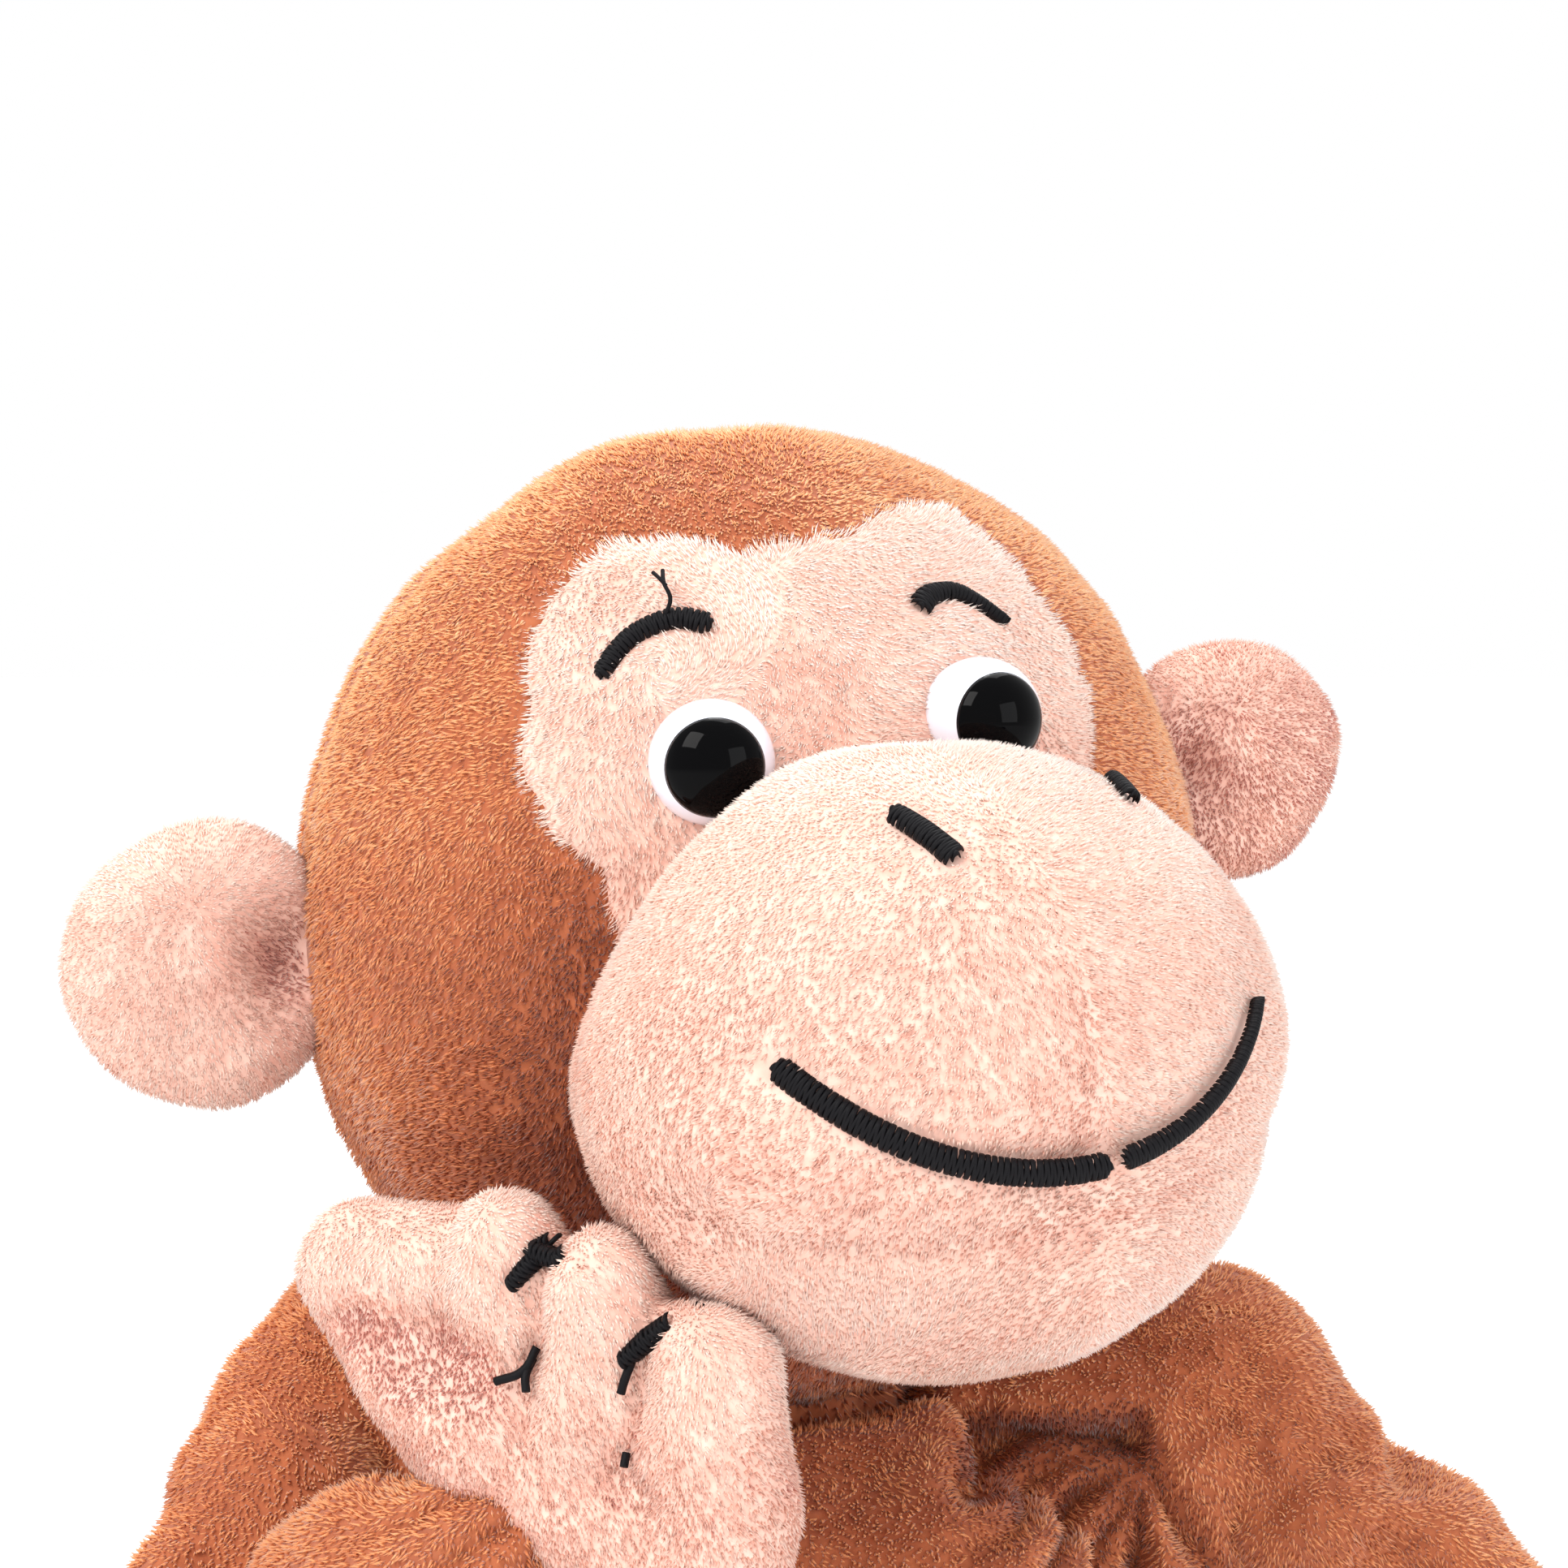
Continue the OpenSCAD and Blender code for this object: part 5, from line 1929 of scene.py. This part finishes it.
    def stitches(self, cover: bpy.types.Object) -> None:
        """Sew the black stitches that part the fingers, with their loose ends.

        Args:
            cover: The hand's cover, on which they lie.
        """
        down = -(self.hand_place.to_3x3() @ Vector((0, 0, 1))).normalized()
        satin = Satin(spacing=0.00026, thread=0.00048, rise=0.0007)
        pieces = []
        for number, ends in enumerate(self.STITCHES):
            line, t = np.array(ends), np.linspace(0, 1, 12)[:, None]
            path = apply(self.hand_place, (line[0] * (1 - t) + line[1] * t) * MM)
            path = landed(cover, path, down, [0.0003] * 12)
            up = aim(self.hand_place, np.tile([0.0, 0.0, 1.0], (12, 1)))
            pieces.append(satin.sew(f"finger_stitch_{self.side.label}_{number}", path, up,
                                    lambda t: 0.0021 - 0.0010 * np.abs(t - 0.5), SEED + number, 0.35))
        for number, tail in enumerate(self.TAILS):
            place = landed(cover, [self.in_hand(*point) for point in tail], down, self.TAIL_RISE[:len(tail)])
            name = f"finger_thread_{self.side.label}_{number}"
            pieces.append(loose_thread(name, [tuple(v) for v in place], 0.0008))
        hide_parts(f"finger_stitches_{self.side.label}")
        for piece in pieces:
            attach(piece, f"forearm_{self.side.label}")


@dataclass
class Leg:
    """One leg: a brown sleeve that ends in a peach foot with its sole forward."""

    side: Side
    hip: tuple[float, float, float] = (28, -43, 16)
    ankle: tuple[float, float, float] = (50, -88, 15)
    radius: float = 0.015
    inset: float = 0.0015
    foot_r: float = 0.013
    toe_at: float = 0.0262
    toe_length: float = 0.008

    def build(self) -> None:
        """Build and dress the leg and its foot."""
        k = self.side.value
        hip = mm(k * self.hip[0], *self.hip[1:])
        ankle = mm(k * self.ankle[0], *self.ankle[1:])
        way = (ankle - hip).normalized()
        r = self.radius - self.inset
        form = capsule(hip, ankle + way * 0.001, r, r - 0.001)
        obj = stuffed(f"leg_{self.side.label}_cover", [form], 0.0022, 5)
        near = np.array(hip), np.array(ankle)

        def hold(p: Array) -> Array:
            """Hold the leg's cover at the hip and at the foot's seam."""
            return 1.0 - smooth(np.minimum(*[np.linalg.norm(p - v, axis=1) for v in near]), 0.013, 0.02)
        settle(obj, 0.06, 0.8, hold, 0.0025, 2.5)
        subdivided(obj)
        p = vertices(obj.data)
        shift(obj, 0.0007 * ripple(p, 0.022, 101 + k))
        self.dress_brown(obj, k)
        self.foot(ankle, way)

    def dress_brown(self, obj: bpy.types.Object, k: int) -> None:
        """Dress the leg's cover.

        Args:
            obj: Cover to dress.
            k: 1 on the left, -1 on the right.
        """
        p = above_floor(obj)
        # Painted light: the leg's pile is lighter where it faces up.
        tone = 0.42 + 0.18 * upper_side(obj) + 0.06 * ripple(p, 0.016, 103)
        comb = np.array([0.2 * k, -1.0, -0.4]) + swirl(p, 0.03, 104) * 0.4
        thick = np.where(p[:, 2] < BARE_BELOW, 0.0, 0.9)
        pile = dress(obj, BROWN, LEG_CUT, SEED + 20 + k, comb, thick, tone)
        n = self.side.label
        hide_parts(f"leg_sleeve_{n}", f"leg_stuffing_{n}")
        ride_all(f"leg_{n}", obj, *pile)

    def foot(self, ankle: Vector, way: Vector) -> None:
        """Build the foot: a rounded block with a flat sole and two toe stitches.

        Args:
            ankle: Ankle's place.
            way: Direction the leg points in.
        """
        level = Vector((way.x, way.y, 0)).normalized()
        base = Vector((ankle.x, ankle.y, 0)) + level * 0.0105
        r = self.foot_r - 0.0013
        low, high = base + Vector((0, 0, r + 0.001)), base + Vector((0, 0, 0.0268))
        n = self.side.label
        obj = stuffed(f"foot_{n}_cover", [capsule(low, high, r, r, 0.80, level)], 0.0016, 3)
        p = vertices(obj.data)
        out = (p - np.array(base)) @ np.array(level)
        sole = 0.0088
        press = np.maximum(0.0, out - sole) * 0.75
        set_vertices(obj.data, p - press[:, None] * np.array(level))
        above_floor(obj)
        subdivided(obj)
        p = vertices(obj.data)
        out = (p - np.array(base)) @ np.array(level)
        rim = np.exp(-((out - sole + 0.0022) / 0.0007) ** 2)
        shift(obj, -0.0005 * rim + 0.0002 * ripple(p, 0.012, 111))
        p = above_floor(obj)
        # Painted light and shade: the foot's pile is lighter where it faces up and darker in the groove of
        # the sole's seam.
        tone = 0.50 + 0.16 * upper_side(obj) - 0.2 * rim + 0.06 * ripple(p, 0.010, 112)
        comb = np.array([0.0, 0.0, 1.0]) + 0.4 * swirl(p, 0.02, 113)
        thick = np.where(p[:, 2] < BARE_BELOW, 0.0, 1.0)
        pile = dress(obj, PEACH, FOOT_CUT, SEED + 24 + self.side.value, comb, thick, tone)
        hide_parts(f"foot_cover_{n}", f"foot_sole_{n}")
        ride_all(f"leg_{n}", obj, *pile)
        across = level.cross(Vector((0, 0, 1)))
        satin = Satin(spacing=0.00045, thread=0.00050, rise=0.0005)
        first = None
        for number, offset in enumerate((-0.0042, 0.0042)):
            t = np.linspace(0, 1, 12)
            start = base + across * offset + level * (sole + 0.0014)
            path = [np.array(start + Vector((0, 0, self.toe_at + self.toe_length * v))) for v in t]
            up = np.tile(np.array(level), (12, 1))
            path = landed(obj, path, -level, [0.0004] * 12)
            name = f"toe_stitch_{n}_{number}"
            piece = satin.sew(name, np.array(path), up, lambda t: 0.0016 + 0 * t, SEED + number, 0.3)
            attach(piece, f"leg_{n}")
            first = first or piece
        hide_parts(f"toe_stitches_{n}")


@dataclass
class Tail:
    """The tail: a stuffed tube that lies in an arc behind the seat."""

    radius: float = 0.0065
    tip: float = 0.75
    curve: float = 0.042
    sweep: float = 100.0
    root: tuple[float, float] = (0.0, 0.039)
    inset: float = 0.0014

    def build(self) -> None:
        """Build and dress the tail."""
        steps, sides = 44, 24
        points, faces = [], []
        shares = [-0.08 * (1 - i / 6) ** 2 for i in range(6)] + [j / (steps - 6) for j in range(steps - 5)]
        for t in shares:
            turn = math.radians(180 - self.sweep * t)
            r = self.radius * (1 + (self.tip - 1) * max(t, 0.0)) - self.inset
            r *= math.sqrt(max(0.0, 1 - max(0.0, (t - 0.93) / 0.07) ** 2)) if t > 0.93 else 1.0
            r *= math.sqrt(max(0.0, 1 - min(0.0, t / 0.08) ** 2))
            r = max(r, 0.0002)
            for k in range(sides):
                a = 2 * math.pi * k / sides
                across = self.curve + r * math.cos(a)
                x = self.root[0] + self.curve + across * math.cos(turn)
                points.append((x, self.root[1] + across * math.sin(turn), self.radius + r * math.sin(a)))
        for j in range(steps):
            for k in range(sides):
                n = (k + 1) % sides
                faces.append((j * sides + k, (j + 1) * sides + k, (j + 1) * sides + n, j * sides + n))
        faces.append(tuple(range(sides)))
        faces.append(tuple(reversed(range(steps * sides, (steps + 1) * sides))))
        obj = mesh_object("tail_cover", np.array(points), faces)
        close_and_orient(obj.data)
        subdivided(obj)
        p = vertices(obj.data)
        shift(obj, 0.0004 * ripple(p, 0.014, 121))
        p = vertices(obj.data)
        middle = np.array([self.root[0] + self.curve, self.root[1], 0.0])
        d = p - middle
        comb = np.stack([d[:, 1], -d[:, 0], 0 * d[:, 0]], axis=1)
        # Painted light: the tail's pile is lighter where it faces up.
        tone = 0.42 + 0.16 * upper_side(obj) + 0.06 * ripple(p, 0.014, 122)
        thick = np.where(p[:, 2] < BARE_BELOW, 0.0, 1.0)
        pile = dress(obj, BROWN, TAIL_CUT, SEED + 30, comb, thick, tone)
        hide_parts("tail_sleeve", "tail_stuffing")
        ride_all("tail", obj, *pile)


# ---------------------------------------------------------------- studio


@dataclass
class Studio:
    """A pale floor, soft light and the camera."""

    lens: float = 55.9
    camera_at: tuple[float, float, float] = (0.0029, -0.2659, 0.2006)
    camera_pitch: float = 84.0

    def floor(self) -> None:
        """Lay a wide pale floor."""
        size = 3.0
        corners = np.array([(-size, -size, 0), (size, -size, 0), (size, size, 0), (-size, size, 0)])
        obj = mesh_object("floor", corners, [(0, 1, 2, 3)])
        material, shader = principled("floor_paper", (0.93, 0.93, 0.93, 1.0), 0.9)
        shader.inputs["Specular IOR Level"].default_value = 0.1
        shader.inputs["Emission Color"].default_value = (1.0, 1.0, 1.0, 1.0)
        shader.inputs["Emission Strength"].default_value = 0.10
        obj.data.materials.append(material)

    def lamp(
        self, name: str, place: Vector, target: Vector, size: float, power: float,
        colour: tuple[float, float, float],
    ) -> None:
        """Hang one soft square light.

        Args:
            name: Name of the light.
            place: Where it hangs.
            target: Point that it faces.
            size: Side of its square.
            power: Its power in watts.
            colour: Its colour.
        """
        light = bpy.data.lights.new(name, "AREA")
        light.shape = "SQUARE"
        light.size = size
        light.energy = power
        light.color = colour
        obj = link(bpy.data.objects.new(name, light))
        obj.location = place
        obj.rotation_euler = (target - place).to_track_quat("-Z", "Y").to_euler()

    def build(self) -> None:
        """Set up the floor, the lights, the surroundings and the camera."""
        self.floor()
        heart = mm(5, -10, 150)
        self.lamp("key_light", heart + Vector((-0.55, -0.55, 0.75)), heart, 0.55, 8.5, (1.0, 0.98, 0.96))
        self.lamp("fill_light", heart + Vector((0.80, -0.70, 0.25)), heart, 0.60, 3.0, (0.97, 0.98, 1.0))
        self.lamp("top_light", heart + Vector((0.1, 0.35, 0.80)), heart, 0.50, 3.5, (1.0, 1.0, 1.0))
        world = bpy.data.worlds.new("studio_air")
        bpy.context.scene.world = world
        world.use_nodes = True
        sky = world.node_tree.nodes["Background"]
        sky.inputs["Color"].default_value = (1.0, 1.0, 1.0, 1.0)
        sky.inputs["Strength"].default_value = 1.0
        bpy.context.scene.view_settings.view_transform = "Standard"
        camera = bpy.data.cameras.new("camera")
        camera.lens = self.lens
        camera.sensor_width = 36.0
        camera.clip_start = 0.01
        camera.clip_end = 20.0
        obj = link(bpy.data.objects.new("camera", camera))
        obj.location = self.camera_at
        obj.rotation_euler = Euler((math.radians(self.camera_pitch), 0.0, 0.0))
        bpy.context.scene.camera = obj
        LOG.info("studio: floor, three lights and the camera")


def hide_sealed() -> None:
    """Give the washers behind the eyes their matt plastic."""
    material, _ = principled("washer_plastic", srgb(222, 222, 218), 0.6)
    for side in Side:
        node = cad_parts[f"eye_washer_{side.label}"]
        node.data.materials.clear()
        node.data.materials.append(material)


def main() -> None:
    """Build the monkey and its studio, in order."""
    logging.basicConfig(level=logging.INFO, format="%(name)s: %(message)s")
    Studio().build()
    Head().build()
    Torso().build()
    turn, flat = Matrix.Rotation(math.radians(-24), 4, "Z"), Matrix.Rotation(math.radians(90), 4, "X")
    Arm(Side.RIGHT, mm(-45, -2, 103), mm(-55, -34, 80), mm(-19, -54, 113),
        Matrix.Translation(mm(-19, -54, 113)) @ turn @ flat).build()
    mirror = Matrix.Diagonal((-1.0, 1.0, 1.0, 1.0))
    Arm(Side.LEFT, mm(50, 0, 103), mm(82, -10, 66), mm(92, -20, 16.5),
        Matrix.Translation(mm(95, -24, 6)) @ Matrix.Rotation(math.radians(200), 4, "Z") @ mirror,
        cuff_reach=0.001).build()
    for side in Side:
        Leg(side).build()
    Tail().build()
    hide_sealed()


if __name__ == "__main__":
    main()
